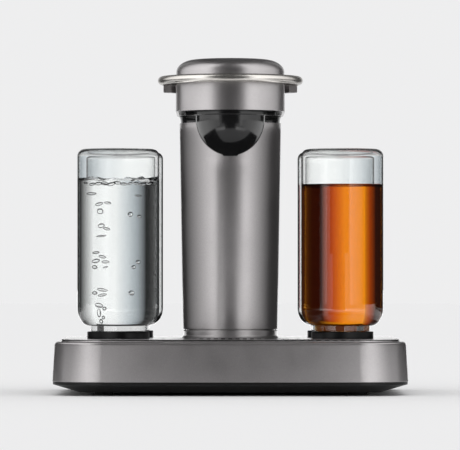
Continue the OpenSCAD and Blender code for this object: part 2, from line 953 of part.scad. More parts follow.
module capsule_holder() {
    cup_wall = 2;
    drain_r = 5;
    cup_z = holder_z - capsule_depth;
    color(satin_black)
        turned(0, nozzle_y, [
            [drain_r, cup_z - cup_wall],
            [capsule_r + cup_wall, cup_z - cup_wall],
            [capsule_r + cup_wall, holder_z - flange_t],
            [head_r - wall - let_in_gap, holder_z - flange_t],
            [head_r - wall - let_in_gap, holder_z],
            [capsule_r, holder_z],
            [capsule_r, cup_z],
            [drain_r, cup_z]
        ]);
}

// The manifold: a block at the back of the head with a spout that reaches into the dome
module mix_manifold() {
    block_side = 6;
    block_w = 2 * (rear_riser_x + block_side);
    spout_r = 2.3;
    spout_y = nozzle_y + (dome_mouth_r + capsule_r + 2) / 2;
    spout_z = manifold_z + 5;
    color(satin_black) {
        translate([-block_w / 2, manifold_rear - manifold_d, manifold_z])
            cube([block_w, manifold_d, manifold_h]);
        translate([0, manifold_rear - manifold_d / 2, spout_z])
            rotate([90, 0, 0])
                cylinder(r = spout_r, h = manifold_rear - manifold_d / 2 - spout_y);
        translate([0, spout_y, spout_z])
            sphere(spout_r);
        post(0, spout_y, spout_r, head_z - 2, spout_z);
    }
}

module hinge_bracket() {
    lug_x = knuckle_half + lug_gap;
    foot_half = lug_x + lug_t + 3;
    foot_t = 1.5;
    foot_d = 14;
    color(satin_black)
        difference() {
            union() {
                translate([-foot_half, hinge_y - foot_d / 2, saddle_z])
                    cube([2 * foot_half, foot_d, foot_t]);
                for (side = [-1, 1])
                    translate([side * (lug_x + lug_t / 2), hinge_y, hinge_z])
                        rotate([0, 90, 0]) {
                            cylinder(r = knuckle_r, h = lug_t, center = true);
                            translate([0, -knuckle_r, -lug_t / 2])
                                cube([hinge_z - saddle_z, 2 * knuckle_r, lug_t]);
                        }
            }
            hinge_bore();
        }
}

module hinge_bore() {
    translate([0, hinge_y, hinge_z])
        rotate([0, 90, 0])
            cylinder(r = pin_r + pin_gap, h = 2 * head_r, center = true);
}

module hinge_pin() {
    pin_l = 2 * (knuckle_half + lug_gap + lug_t) + 1;
    color(steel)
        translate([0, hinge_y, hinge_z])
            rotate([0, 90, 0])
                cylinder(r = pin_r, h = pin_l, center = true);
}

module lid_shell() {
    crown = 0.6;
    flat_r = lid_r - lid_shoulder_w;
    rise = lid_h - crown - lid_side_h;
    color(grey_paint)
        turned(0, nozzle_y, concat(
            [[lid_r - wall, lid_z], [lid_r, lid_z]],
            arc(flat_r, lid_z + lid_side_h, lid_shoulder_w, rise, 0, 90, 10),
            [[0, lid_z + lid_h], [0, lid_z + lid_h - wall - crown]],
            arc(flat_r, lid_z + lid_side_h, lid_shoulder_w - wall, rise - wall, 90, 0, 10)
        ));
}

module lid_liner() {
    color(satin_black)
        post(0, nozzle_y, lid_r - wall - let_in_gap, liner_z, liner_z + liner_t);
}

module lid_gasket() {
    outer_r = head_r - wall - ledge_w;
    gasket_w = 4;
    low = holder_z + lift_gap;
    color(satin_black)
        turned(0, nozzle_y, [
            [outer_r - gasket_w, low],
            [outer_r, low],
            [outer_r, liner_z],
            [outer_r - gasket_w, liner_z]
        ]);
}

module piercer() {
    hub_r = 8;
    needle_r = 2;
    hub_z = liner_z - 5;
    color(steel)
        turned(0, nozzle_y, [
            [0, hub_z - 9],
            [needle_r, hub_z - 5],
            [needle_r, hub_z],
            [hub_r, hub_z],
            [hub_r, liner_z],
            [0, liner_z]
        ]);
}

module ring_shape(r) {
    translate([0, nozzle_y, ring_z])
        rotate_extrude()
            translate([ring_r, 0])
                circle(r);
}

module handle_ring() {
    color(steel)
        ring_shape(ring_tube_r);
}

// The yoke: a band below the back of the ring, a rib up to the lid, and the hinge knuckle
module handle_yoke() {
    rib_half = 18;
    rib_in = head_r + 2.5;
    rib_top = lid_z + 6;
    color(grey_paint)
        difference() {
            union() {
                intersection() {
                    ring_band(yoke_r - yoke_w / 2, yoke_r + yoke_w / 2, yoke_z, yoke_z + yoke_h);
                    translate([-2 * ring_r, nozzle_y + yoke_end, yoke_z - 1])
                        cube([4 * ring_r, 2 * ring_r, yoke_h + 2]);
                }
                intersection() {
                    union() {
                        ring_band(rib_in, yoke_r, yoke_z, rib_top);
                        ring_band(lid_r, rib_in + 1, lid_z + lift_gap, rib_top);
                    }
                    translate([-rib_half, nozzle_y, yoke_z - 1])
                        cube([2 * rib_half, 2 * ring_r, rib_top - yoke_z + 2]);
                }
                translate([-knuckle_half, nozzle_y + yoke_r, hinge_z - knuckle_r + 1])
                    cube([2 * knuckle_half, hinge_y - nozzle_y - yoke_r, 2 * knuckle_r - 2]);
                translate([0, hinge_y, hinge_z])
                    rotate([0, 90, 0])
                        cylinder(r = knuckle_r, h = 2 * knuckle_half, center = true);
            }
            ring_shape(ring_tube_r);
            hinge_bore();
        }
}

// A flat ring about the nozzle axis
module ring_band(inner, outer, low, high) {
    turned(0, nozzle_y, [[inner, low], [outer, low], [outer, high], [inner, high]]);
}

// Inside outline of a bottle, from its mouth up, kept gap clear of the glass
function bottle_inside(gap) =
    let (
        body_r = bottle_r - bottle_wall - gap,
        neck_r = finish_bore_r - gap,
        shoulder_z = seat_z + bottle_neck_h + bottle_shoulder_h,
        edge_r = bottle_edge_r - bottle_wall,
        top = bottle_top - bottle_base_t - gap
    )
    concat(
        [[neck_r, mouth_z + gap]],
        arc(neck_r, shoulder_z, body_r - neck_r, bottle_shoulder_h - bottle_wall - gap, -90, 0),
        arc(body_r - edge_r, top - edge_r, edge_r, edge_r, 0, 90, 5)
    );

module bottle(place) {
    shoulder_z = seat_z + bottle_neck_h + bottle_shoulder_h;
    inside = bottle_inside(0);
    color(clear_glass)
        turned(place[0], place[1], concat(
            [[finish_r, mouth_z], [finish_r, seat_z], [bottle_neck_r, seat_z]],
            arc(bottle_neck_r, shoulder_z, bottle_r - bottle_neck_r, bottle_shoulder_h, -90, 0),
            arc(bottle_r - bottle_edge_r, bottle_top - bottle_edge_r, bottle_edge_r, bottle_edge_r, 0, 90, 6),
            [[0, bottle_top], [0, bottle_top - bottle_base_t]],
            [for (i = [len(inside) - 1 : -1 : 0]) inside[i]]
        ));
}

// The valve cap on a bottle's mouth, with the outlet valve and the air vent standing in it
module bottle_cap(place) {
    vent_at = place[0] + sign(place[0]) * air_vent_x;
    color(satin_black) {
        difference() {
            union() {
                turned(place[0], place[1], [
                    [0, cap_z],
                    [cap_r, cap_z],
                    [cap_r, seat_z - 1],
                    [cap_r - cap_wall, seat_z - 1],
                    [cap_r - cap_wall, mouth_z],
                    [0, mouth_z]
                ]);
                post(place[0], place[1], valve_r, mouth_z, mouth_z + valve_h);
                post(vent_at, place[1], air_vent_r, mouth_z, seat_z + bottle_neck_h);
            }
            post(vent_at, place[1], air_vent_bore_r, cap_z - 1, seat_z + bottle_neck_h + 1);
            post(place[0], place[1], barb_bore_r, cap_z - 1, mouth_z + valve_h - 2);
        }
    }
}

// The spirit in a bottle, up to the given height
module spirit(place, level, tint) {
    skin = 0.1;
    vent_at = place[0] + sign(place[0]) * air_vent_x;
    inside = bottle_inside(skin);
    last = len(inside) - 1;
    color(tint)
        difference() {
            intersection() {
                turned(place[0], place[1], concat(
                    [[0, mouth_z + skin]],
                    inside,
                    [[0, inside[last][1]]]
                ));
                post(place[0], place[1], bottle_r, mouth_z - 1, level);
            }
            post(place[0], place[1], valve_r + skin, mouth_z - 1, mouth_z + valve_h + skin);
            post(vent_at, place[1], air_vent_r + skin, mouth_z - 1, seat_z + bottle_neck_h + skin);
        }
}

module water_tank() {
    floor_t = 3;
    color(smoky_plastic)
        difference() {
            translate([0, 0, tank_z])
                linear_extrude(tank_h)
                    tank_plan(0);
            translate([0, 0, tank_z + floor_t])
                linear_extrude(tank_h)
                    tank_plan(tank_wall);
            post(0, tank_valve_y, tank_valve_r - 2 + let_in_gap, tank_z - 1, tank_z + floor_t + 1);
        }
}

module tank_lid() {
    skirt_h = 5;
    grip_r = 12;
    low = tank_z + tank_h;
    color(satin_black)
        difference() {
            union() {
                translate([0, 0, low])
                    linear_extrude(tank_lid_h)
                        tank_plan(0);
                translate([0, 0, low - skirt_h])
                    linear_extrude(skirt_h)
                        tank_plan(tank_wall + let_in_gap);
            }
            translate([0, 0, low - skirt_h - 1])
                linear_extrude(skirt_h + 1 + tank_lid_h / 2)
                    tank_plan(tank_wall + let_in_gap + 2);
            translate([0, tank_rear, low + tank_lid_h])
                rotate([90, 0, 0])
                    cylinder(r = grip_r / 4, h = 2 * grip_r, center = true);
        }
}

module tank_valve() {
    stem_r = tank_valve_r - 2;
    tip_z = tank_socket_z + 2;
    color(satin_black)
        turned(0, tank_valve_y, [
            [0, tip_z],
            [tank_valve_r, tip_z],
            [tank_valve_r, tank_z],
            [stem_r, tank_z],
            [stem_r, tank_z + 8],
            [0, tank_z + 8]
        ]);
}

module drip_tray() {
    floor_z = deck_z - tray_depth;
    rim_r = tray_r + tray_rim_w;
    rest_r = grate_r - tray_rest_w;
    rest_z = deck_top - grate_t;
    color(satin_black)
        turned(0, nozzle_y, [
            [0, floor_z],
            [tray_r - tray_foot_r, floor_z],
            [tray_r, floor_z + tray_foot_r],
            [tray_r, tray_rim_z],
            [rim_r, tray_rim_z],
            [rim_r, deck_top],
            [grate_r + let_in_gap, deck_top],
            [grate_r + let_in_gap, rest_z],
            [rest_r, rest_z],
            [rest_r, rest_z - tray_rest_w],
            [tray_r - tray_wall, rest_z - tray_rest_w],
            [tray_r - tray_wall, floor_z + tray_foot_r + tray_wall / 2],
            [tray_r - tray_foot_r - tray_wall / 2, floor_z + tray_wall],
            [0, floor_z + tray_wall]
        ]);
}

module drip_grate() {
    rim_w = 4;
    least_l = 2;
    pitch = slot_w + bar_w;
    inner_r = grate_r - rim_w;
    count = floor(inner_r / pitch);
    color(satin_black)
        translate([0, nozzle_y, deck_top - grate_t])
            difference() {
                cylinder(r = grate_r, h = grate_t);
                for (i = [-count : count])
                    if (abs(i * pitch) + slot_w / 2 < inner_r - least_l)
                        grate_slot(i * pitch, sqrt(pow(inner_r, 2) - pow(abs(i * pitch) + slot_w / 2, 2)));
            }
}

// One slot across the grate, with a rib left standing in its middle
module grate_slot(x, half) {
    rib = 1.5;
    for (side = [0, 1])
        mirror([0, side, 0])
            translate([x - slot_w / 2, rib, -1])
                cube([slot_w, half - rib, grate_t + 2]);
}

bottom_pan();
base_shell();
deck_plate();
rubber_feet();
bottle_dock(dock_places[0]);  // dock_front_left
bottle_dock(dock_places[1]);  // dock_front_right
bottle_dock(dock_places[2]);  // dock_rear_left
bottle_dock(dock_places[3]);  // dock_rear_right
dock_seals();
touch_panel();
control_board();
power_board();
cord_gland();
tank_dock();
pump_motors();
pump_housings();
supply_tubes();
riser_tubes();
column_foot();
column_shell();
neck_ring();
head_shell();
head_floor();
rear_cover();
mixing_dome();
nozzle();
capsule_holder();
mix_manifold();
hinge_bracket();
hinge_pin();
lid_shell();
lid_liner();
lid_gasket();
piercer();
handle_ring();
handle_yoke();
bottle(dock_places[0]);  // bottle_front_left
bottle(dock_places[1]);  // bottle_front_right
bottle(dock_places[2]);  // bottle_rear_left
bottle(dock_places[3]);  // bottle_rear_right
bottle_cap(dock_places[0]);  // cap_front_left
bottle_cap(dock_places[1]);  // cap_front_right
bottle_cap(dock_places[2]);  // cap_rear_left
bottle_cap(dock_places[3]);  // cap_rear_right
spirit(dock_places[0], bottle_top - clear_ullage, clear_spirit);  // spirit_front_left
spirit(dock_places[1], bottle_top - amber_ullage, amber_spirit);  // spirit_front_right
water_tank();
tank_lid();
tank_valve();
drip_tray();
drip_grate();
pump_rotor(pump_places[0]);  // rotor_front_left
pump_rotor(pump_places[1]);  // rotor_front_right
pump_rotor(pump_places[2]);  // rotor_rear_left
pump_rotor(pump_places[3]);  // rotor_rear_right
pump_rotor(pump_places[4]);  // rotor_water
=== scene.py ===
import math

import bpy
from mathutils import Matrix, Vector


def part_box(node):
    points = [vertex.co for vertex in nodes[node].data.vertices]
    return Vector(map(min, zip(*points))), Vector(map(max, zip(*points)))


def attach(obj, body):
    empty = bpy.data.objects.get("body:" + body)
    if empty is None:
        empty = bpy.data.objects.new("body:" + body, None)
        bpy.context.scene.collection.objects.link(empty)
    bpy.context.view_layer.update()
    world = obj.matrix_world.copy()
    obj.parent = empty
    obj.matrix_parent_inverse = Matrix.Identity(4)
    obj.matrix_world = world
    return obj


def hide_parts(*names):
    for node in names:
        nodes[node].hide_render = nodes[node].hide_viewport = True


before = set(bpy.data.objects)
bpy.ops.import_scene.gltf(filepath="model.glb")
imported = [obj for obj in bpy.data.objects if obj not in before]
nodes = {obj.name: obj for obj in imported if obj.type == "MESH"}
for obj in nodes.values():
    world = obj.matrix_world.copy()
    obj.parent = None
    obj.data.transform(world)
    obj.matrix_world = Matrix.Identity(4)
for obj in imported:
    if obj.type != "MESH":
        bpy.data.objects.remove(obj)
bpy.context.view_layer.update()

# Studio: a pale floor that runs on into an even pale background, seen by a long lens just above the deck.
# Soft cards at the front corners light the paint and the steel, dark ones give the edges their depth, and
# cards beside and behind the bottles show only through the glass. The camera itself sees none of them.
scene = bpy.context.scene
scene.view_settings.view_transform = "Standard"
pale = (0.855, 0.855, 0.86, 1)

camera_data = bpy.data.cameras.new("camera")
camera_data.lens = 333.9
camera_data.sensor_width = 36
camera_data.clip_end = 60
camera = bpy.data.objects.new("camera", camera_data)
camera.location = (-0.0003, -4.2, 0.1057)
camera.rotation_euler = (math.radians(90.806), 0, 0)
scene.collection.objects.link(camera)
scene.camera = camera


def feed(tree, node, inputs):
    """Give each named input of a shader node its value, or a link where a socket is given."""
    for name, value in inputs.items():
        if isinstance(value, bpy.types.NodeSocket):
            tree.links.new(value, node.inputs[name])
        else:
            node.inputs[name].default_value = value


def add_node(tree, kind, inputs=None, **settings):
    """Add a shader node to a tree with its settings and its inputs."""
    node = tree.nodes.new("ShaderNode" + kind)
    for name, value in settings.items():
        setattr(node, name, value)
    feed(tree, node, inputs or {})
    return node


world = bpy.data.worlds.new("studio")
world.use_nodes = True
scene.world = world
room = world.node_tree
room.nodes.clear()
ray = add_node(room, "LightPath")
room_light = add_node(room, "Background", {"Color": (1, 1, 1, 1)})
backdrop = add_node(room, "Background", {"Color": pale})
way = add_node(room, "TexCoord")
way_split = add_node(room, "SeparateXYZ", {0: way.outputs["Generated"]})
ceiling_fall = {"From Min": 0.1, "From Max": 0.3, "To Min": 1.0, "To Max": 0.05}
ceiling = add_node(room, "MapRange", {"Value": way_split.outputs["Z"], **ceiling_fall})
reflected = add_node(room, "Background", {"Color": pale, "Strength": ceiling.outputs[0]})
matt_rays = {"Fac": ray.outputs["Is Diffuse Ray"], 1: backdrop.outputs[0], 2: room_light.outputs[0]}
matt = add_node(room, "MixShader", matt_rays)
glossy_rays = {"Fac": ray.outputs["Is Glossy Ray"], 1: matt.outputs[0], 2: reflected.outputs[0]}
either = add_node(room, "MixShader", glossy_rays)
add_node(room, "OutputWorld", {"Surface": either.outputs[0]})


def set_shader(finish, inputs):
    """Give inputs of a finish's own shader their values or links."""
    feed(finish.node_tree, finish.node_tree.nodes["Principled BSDF"], inputs)


def new_finish(name, inputs):
    """Start a finish with values on its shader."""
    finish = bpy.data.materials.new(name)
    finish.use_nodes = True
    set_shader(finish, inputs)
    return finish


bpy.ops.object.select_all(action="DESELECT")
bpy.ops.mesh.primitive_plane_add(size=40)
floor = bpy.context.object
floor.name = "floor"
floor_look = {"Base Color": pale, "Roughness": 1.0, "Specular IOR Level": 0.0}
floor.data.materials.append(new_finish("floor_paper", floor_look))


def mixed(tree, factor, first, second):
    """Mix two colours by a factor and give the result."""
    tones = {"Factor": factor, "A": (*first, 1), "B": (*second, 1)}
    return add_node(tree, "Mix", tones, data_type="RGBA").outputs["Result"]


def studio_card(name, inner, outer, span, glow, fade=1.0, seen=("glossy",), gel=(1, 1, 1)):
    """Stand a card from inner to outer (x, y) over a span of heights. Its glow runs from the first strength
    to the second over the share fade of its length, and turns to the gel's colour in the first half of that.
    Only what seen names shows it: reflections (glossy) or glass (through)."""
    low, high = span
    near, far = glow
    along = (outer[0] - inner[0], outer[1] - inner[1])
    bpy.ops.object.select_all(action="DESELECT")
    bpy.ops.mesh.primitive_plane_add(size=1)
    card = bpy.context.object
    card.name = name
    card.location = ((inner[0] + outer[0]) / 2, (inner[1] + outer[1]) / 2, (low + high) / 2)
    card.rotation_euler = (math.pi / 2, 0, math.atan2(along[1], along[0]))
    card.scale = (math.hypot(*along), high - low, 1)
    face = bpy.data.materials.new(name)
    face.use_nodes = True
    tree = face.node_tree
    tree.nodes.clear()
    place = add_node(tree, "TexCoord")
    split = add_node(tree, "SeparateXYZ", {0: place.outputs["Object"]})
    start = {"Value": split.outputs["X"], "From Min": -0.5}
    ramp = add_node(tree, "MapRange", {**start, "From Max": -0.5 + fade, "To Min": near, "To Max": far})
    blend = add_node(tree, "MapRange", {**start, "From Max": -0.5 + fade / 2})
    tint = mixed(tree, blend.outputs[0], (1, 1, 1), gel)
    light = add_node(tree, "Emission", {"Color": tint, "Strength": ramp.outputs[0]})
    add_node(tree, "OutputMaterial", {"Surface": light.outputs[0]})
    card.data.materials.append(face)
    card.visible_camera = False
    card.visible_diffuse = False
    card.visible_shadow = False
    card.visible_glossy = "glossy" in seen
    card.visible_transmission = "through" in seen
    return card


# Tall soft cards at the front corners, each over a strip.
soft_span = (0.25, 1.5)
strip_span = (0.085, 0.25)
studio_card("left_soft_card", (-0.32, -0.5), (-0.66, 0.38), soft_span, (2.15, 0.85))
studio_card("right_soft_card", (0.26, -0.5), (0.64, 0.3), soft_span, (2.05, 0.5))
studio_card("left_strip_card", (-0.32, -0.5), (-0.48, -0.31), strip_span, (2.1, 0.1))
studio_card("right_strip_card", (0.26, -0.5), (0.48, -0.28), strip_span, (2.1, 0.1))

# Cards close beside the column, bright in front and dark behind, with dark backs; the short ones that carry
# them on to the front are for the dome.
flag_x = 0.067
flag_back_x = 0.0675
flag_end = 0.09
left_front, right_front = -0.1, -0.085
flag_span = (0.06, 0.262)
dome_span = (0.2275, 0.262)
dark = (0.02, 0.02)
studio_card("left_flag_card", (-flag_x, left_front), (-flag_x, flag_end), flag_span, (2.15, 0.03), 0.7)
studio_card("right_flag_card", (flag_x, right_front), (flag_x, flag_end), flag_span, (1.85, 0.05), 0.55)
studio_card("left_flag_back_card", (-flag_back_x, -0.14), (-flag_back_x, flag_end), flag_span, dark)
studio_card("right_flag_back_card", (flag_back_x, right_front), (flag_back_x, flag_end), flag_span, dark)
studio_card("left_dome_card", (-flag_x, -0.17), (-flag_x, left_front), dome_span, (1.3, 2.15))
studio_card("right_dome_card", (flag_x, -0.17), (flag_x, right_front), dome_span, (1.3, 1.85))

# Cards beside and behind the bottles that mostly the glass alone shows: a faint blue gel tints those of the
# clear glass and spirit, a red one those of the amber. The low, edge, deck and front dark cards are there
# for the reflections.
both = ("glossy", "through")
through = ("through",)
haze = (0.86, 0.94, 1)
body_gel = (1, 0.42, 0.5)
back_gel = (1, 0.42, 0.38)
neck_gel = (1, 0.4, 0.3)
left_span, right_span = (0.079, 0.213), (0.079, 0.208)
studio_card("left_body_card", (-0.052, 0.19), (-0.052, -0.1), left_span, (1.2, 0.03), 0.45, through)
studio_card("right_body_card", (0.052, 0.21), (0.052, -0.1), right_span, (0.9, 0.02), 0.36, through, body_gel)
for side, name, gel, fade in ((-1, "left", haze, 0.72), (1, "right", back_gel, 0.5)):
    side_in, side_out = (side * 0.47, -0.3), (side * 0.75, 0.25)
    back_in, back_out = (side * 0.11, 0.44), (side * 0.39, 0.44)
    far_in, far_out = (side * 0.38, 0.44), (side * 1.3, 0.2)
    studio_card(name + "_side_card", side_in, side_out, strip_span, (0.03, 0.03), seen=both)
    studio_card(name + "_low_card", (side * 0.15, -0.5), (side * 0.5, -0.2), (0.0, 0.07), (3.0, 0.85))
    studio_card(name + "_front_low_card", (0, -0.56), (side * 0.16, -0.56), (0.0, 0.14), (0.012, 0.115))
    studio_card(name + "_edge_card", (side * 0.26, 0.5), far_out, (0.0, 0.9), (0.85, 0.02), 0.1)
    studio_card(name + "_back_card", back_in, back_out, (0.079, 0.216), (1.25, 0.01), fade, through, gel)
    studio_card(name + "_upper_card", back_in, back_out, (0.216, 0.3), (1.25, 0.01), 0.68, through, haze)
    studio_card(name + "_outer_card", far_in, far_out, (0.079, 0.3), dark, seen=through)
neck_span = (0.05, 0.0715)
studio_card("left_neck_card", (-0.14, 0), (-0.074, 0), neck_span, (0.85, 0.7), seen=through)
studio_card("right_neck_card", (0.074, 0), (0.14, 0), neck_span, (0.2, 0.08), 0.5, through, neck_gel)
studio_card("deck_back_card", (-0.3, 0.34), (0.3, 0.34), (0.0, 0.1), (1.7, 1.7))
studio_card("front_dark_card", (-0.25, -0.55), (0.25, -0.55), (0.14, 1.5), (0.05, 0.05))
studio_card("middle_back_card", (-0.11, 0.44), (0.11, 0.44), (0.0, 0.3), (1.25, 1.25), seen=through)
studio_card("front_back_card", (-1.5, -0.6), (1.5, -0.6), (0.0, 1.5), (0.18, 0.18), seen=through)

# A dark card that lies flat just below the nozzle.
shelf_left, shelf_right = (-0.0665, -0.078), (0.0665, -0.078)
dome_shelf = studio_card("dome_shelf_card", shelf_left, shelf_right, (0.22, 0.276), dark)
dome_shelf.rotation_euler = (0, 0, 0)
dome_shelf.location.z = dome_span[0]


# Feet: four moulded rubber discs pressed under the bottom pan.
# Matt black rubber with a fine moulded grain, like the dock seals, the cord bush and the lid's gasket.
def grain_group():
    """Build the fine grain and the broad unevenness that moulded surfaces share."""
    group = bpy.data.node_groups.new("moulded_grain", "ShaderNodeTree")
    group.interface.new_socket("Grain Scale", in_out="INPUT", socket_type="NodeSocketFloat")
    group.interface.new_socket("Cloud Scale", in_out="INPUT", socket_type="NodeSocketFloat")
    group.interface.new_socket("Height", in_out="OUTPUT", socket_type="NodeSocketFloat")
    group.interface.new_socket("Cloud", in_out="OUTPUT", socket_type="NodeSocketFloat")
    given = group.nodes.new("NodeGroupInput").outputs
    made = group.nodes.new("NodeGroupOutput")
    place = add_node(group, "TexCoord").outputs["Object"]
    grain = add_node(group, "TexNoise", {"Vector": place, "Scale": given["Grain Scale"], "Detail": 2.0})
    cloud = add_node(group, "TexNoise", {"Vector": place, "Scale": given["Cloud Scale"], "Detail": 3.0})
    feed(group, made, {"Height": grain.outputs["Fac"], "Cloud": cloud.outputs["Fac"]})
    return group


moulded_grain = grain_group()


def relief(tree, height, strength, depth):
    """Give the normal of a surface that a height bumps."""
    return add_node(tree, "Bump", {"Height": height, "Strength": strength, "Distance": depth}).outputs[0]


def grained(name, dark, light, rough, grain_scale, grain_depth, metallic=0.0):
    """Make a finish whose tone and gloss drift a little, over a fine moulded grain."""
    finish = new_finish(name, {"Metallic": metallic})
    tree = finish.node_tree
    scales = {"Grain Scale": grain_scale, "Cloud Scale": 40.0}
    grain = add_node(tree, "Group", scales, node_tree=moulded_grain).outputs
    drift = {"From Min": 0.3, "From Max": 0.7, "To Min": rough[0], "To Max": rough[1]}
    gloss = add_node(tree, "MapRange", {"Value": grain["Cloud"], **drift})
    tone = mixed(tree, grain["Cloud"], dark, light)
    normal = relief(tree, grain["Height"], 0.4, grain_depth)
    set_shader(finish, {"Base Color": tone, "Roughness": gloss.outputs[0], "Normal": normal})
    return finish


def dress(finish, *names):
    """Give a finish to CAD nodes that keep their own shape."""
    for name in names:
        for material_slot in nodes[name].material_slots:
            material_slot.material = finish


rubber = grained("matt_rubber", (0.012, 0.012, 0.012), (0.022, 0.022, 0.022), (0.75, 0.9), 900, 0.00008)
dress(rubber, "rubber_feet", "dock_seals", "cord_gland", "lid_gasket")

# Bottom pan: one black moulding with sloping sides, vents and an upright lip that meets the painted wall.
# Satin black plastic with a very fine grain from the mould.
satin_dark = (0.004, 0.004, 0.0042)
satin_light = (0.007, 0.007, 0.0072)
satin_black = grained("satin_black", satin_dark, satin_light, (0.28, 0.36), 1500, 0.00002)
set_shader(satin_black, {"Specular IOR Level": 0.22})
dress(satin_black, "bottom_pan")

# Pumps: five zinc-plated motors on the pan, each below a black pump head with a white three-roller rotor.
# The heads are screwed to the motors; the rotors press on the shafts.
zinc_plate = grained("zinc_plate", (0.42, 0.42, 0.44), (0.58, 0.58, 0.6), (0.28, 0.45), 500, 0.00002, 1.0)
white_nylon = grained("white_nylon", (0.7, 0.7, 0.67), (0.78, 0.78, 0.75), (0.4, 0.5), 700, 0.00003)
dress(zinc_plate, "pump_motors")
dress(satin_black, "pump_housings")
dress(white_nylon, "rotor_front_left", "rotor_front_right", "rotor_rear_left", "rotor_rear_right")
dress(white_nylon, "rotor_water")

# Circuit boards: the control board below the touch panel and the power board at the rear left.
# Green solder mask over fine copper tracks, with plain black parts.
board_mask = new_finish("board_mask", {"Roughness": 0.32})
board_tree = board_mask.node_tree
board_place = add_node(board_tree, "TexCoord")
board_tracks = add_node(board_tree, "TexBrick", {
    "Vector": board_place.outputs["Object"],
    "Scale": 260.0,
    "Mortar Size": 0.06,
    "Color1": (0.008, 0.07, 0.028, 1),
    "Color2": (0.012, 0.09, 0.036, 1),
    "Mortar": (0.03, 0.17, 0.06, 1),
})
board_relief = relief(board_tree, board_tracks.outputs["Fac"], 0.3, 0.00005)
set_shader(board_mask, {"Base Color": board_tracks.outputs["Color"], "Normal": board_relief})
dress(board_mask, "control_board", "power_board")

# Tubes: ten milky silicone hoses from the docks to the pumps and from the pumps up the column.
# They push on to barbs and hold by their own stretch.
silicone = grained("milky_silicone", (0.66, 0.66, 0.62), (0.74, 0.74, 0.7), (0.35, 0.5), 400, 0.00003)
dress(silicone, "supply_tubes", "riser_tubes")


# Base shell: one painted moulding with drafted walls, wide plan corners and an eased top edge.
# Warm grey metallic paint in a satin coat; it screws down over the bottom pan.
def flake_group():
    """Build the sparkle of metallic paint: small cells, each a little lighter or darker."""
    group = bpy.data.node_groups.new("metal_flake", "ShaderNodeTree")
    group.interface.new_socket("Flake Scale", in_out="INPUT", socket_type="NodeSocketFloat")
    group.interface.new_socket("Flake", in_out="OUTPUT", socket_type="NodeSocketFloat")
    given = group.nodes.new("NodeGroupInput").outputs
    made = group.nodes.new("NodeGroupOutput")
    place = add_node(group, "TexCoord")
    cells = add_node(group, "TexVoronoi", {"Vector": place.outputs["Object"], "Scale": given["Flake Scale"]})
    split = add_node(group, "SeparateColor", {0: cells.outputs["Color"]})
    feed(group, made, {"Flake": split.outputs[0]})
    return group


paint_dark = (0.35, 0.334, 0.337)
paint_light = (0.4, 0.382, 0.385)
grey_paint = grained("grey_paint", paint_dark, paint_light, (0.34, 0.4), 2600, 0.000012, 1.0)
paint_tree = grey_paint.node_tree
flake = add_node(paint_tree, "Group", {"Flake Scale": 2200.0}, node_tree=flake_group())
paint_tone = mixed(paint_tree, flake.outputs["Flake"], paint_dark, paint_light)
set_shader(grey_paint, {"Base Color": paint_tone, "Coat Weight": 1.0, "Coat Roughness": 0.22})


def pick(piece, kind, chosen):
    """Enter edit mode with the vertices, edges or faces of a piece that chosen accepts selected."""
    bpy.ops.object.select_all(action="DESELECT")
    piece.select_set(True)
    bpy.context.view_layer.objects.active = piece
    bpy.ops.object.mode_set(mode="EDIT")
    bpy.ops.mesh.select_mode(type=kind)
    bpy.ops.mesh.select_all(action="DESELECT")
    bpy.ops.object.mode_set(mode="OBJECT")
    mesh = piece.data
    items = {"VERT": mesh.vertices, "EDGE": mesh.edges, "FACE": mesh.polygons}[kind]
    for item in items:
        item.select = chosen(item)
    bpy.ops.object.mode_set(mode="EDIT")


def named(piece, name):
    """Name a piece and its mesh."""
    piece.name = name
    piece.data.name = name


def slab(name, low, high, corner_r, steps=14):
    """Add a box from corner low to corner high with rounded upright edges."""
    bpy.ops.object.select_all(action="DESELECT")
    bpy.ops.mesh.primitive_cube_add(size=1)
    piece = bpy.context.object
    named(piece, name)
    piece.scale = [high[i] - low[i] for i in range(3)]
    piece.location = [(high[i] + low[i]) / 2 for i in range(3)]
    bpy.ops.object.transform_apply(location=True, rotation=True, scale=True)
    ends = piece.data.vertices
    upright = {
        edge.index for edge in piece.data.edges
        if abs(ends[edge.vertices[0]].co.z - ends[edge.vertices[1]].co.z) > 1e-6
    }
    pick(piece, "EDGE", lambda edge: edge.index in upright)
    bpy.ops.mesh.bevel(offset=corner_r, segments=steps, affect="EDGES")
    bpy.ops.object.mode_set(mode="OBJECT")
    return piece


def cut_out(piece, cutter):
    """Cut one piece out of another and take the cutter away."""
    cut = piece.modifiers.new("cut", "BOOLEAN")
    cut.operation = "DIFFERENCE"
    cut.solver = "EXACT"
    cut.object = cutter
    bpy.context.view_layer.objects.active = piece
    bpy.ops.object.modifier_apply(modifier=cut.name)
    bpy.data.objects.remove(cutter, do_unlink=True)


def rod(x, y, z, radius, length, turn=(0, 0, 0), sides=96):
    """Add a cylinder about the middle (x, y, z)."""
    bpy.ops.object.select_all(action="DESELECT")
    bpy.ops.mesh.primitive_cylinder_add(
        vertices=sides, radius=radius, depth=length, location=(x, y, z), rotation=turn
    )
    return bpy.context.object


def ease_edges(piece, width, steps=3):
    """Round the sharp edges of a piece and shade it smooth with true flats."""
    bpy.ops.object.select_all(action="DESELECT")
    piece.select_set(True)
    bpy.context.view_layer.objects.active = piece
    ease = piece.modifiers.new("ease", "BEVEL")
    ease.width = width
    ease.segments = steps
    ease.limit_method = "ANGLE"
    ease.angle_limit = math.radians(35)
    bpy.ops.object.modifier_apply(modifier=ease.name)
    bpy.ops.object.shade_smooth_by_angle(angle=math.radians(40))
    true_flats = piece.modifiers.new("true_flats", "WEIGHTED_NORMAL")
    true_flats.keep_sharp = True
    bpy.ops.object.modifier_apply(modifier=true_flats.name)


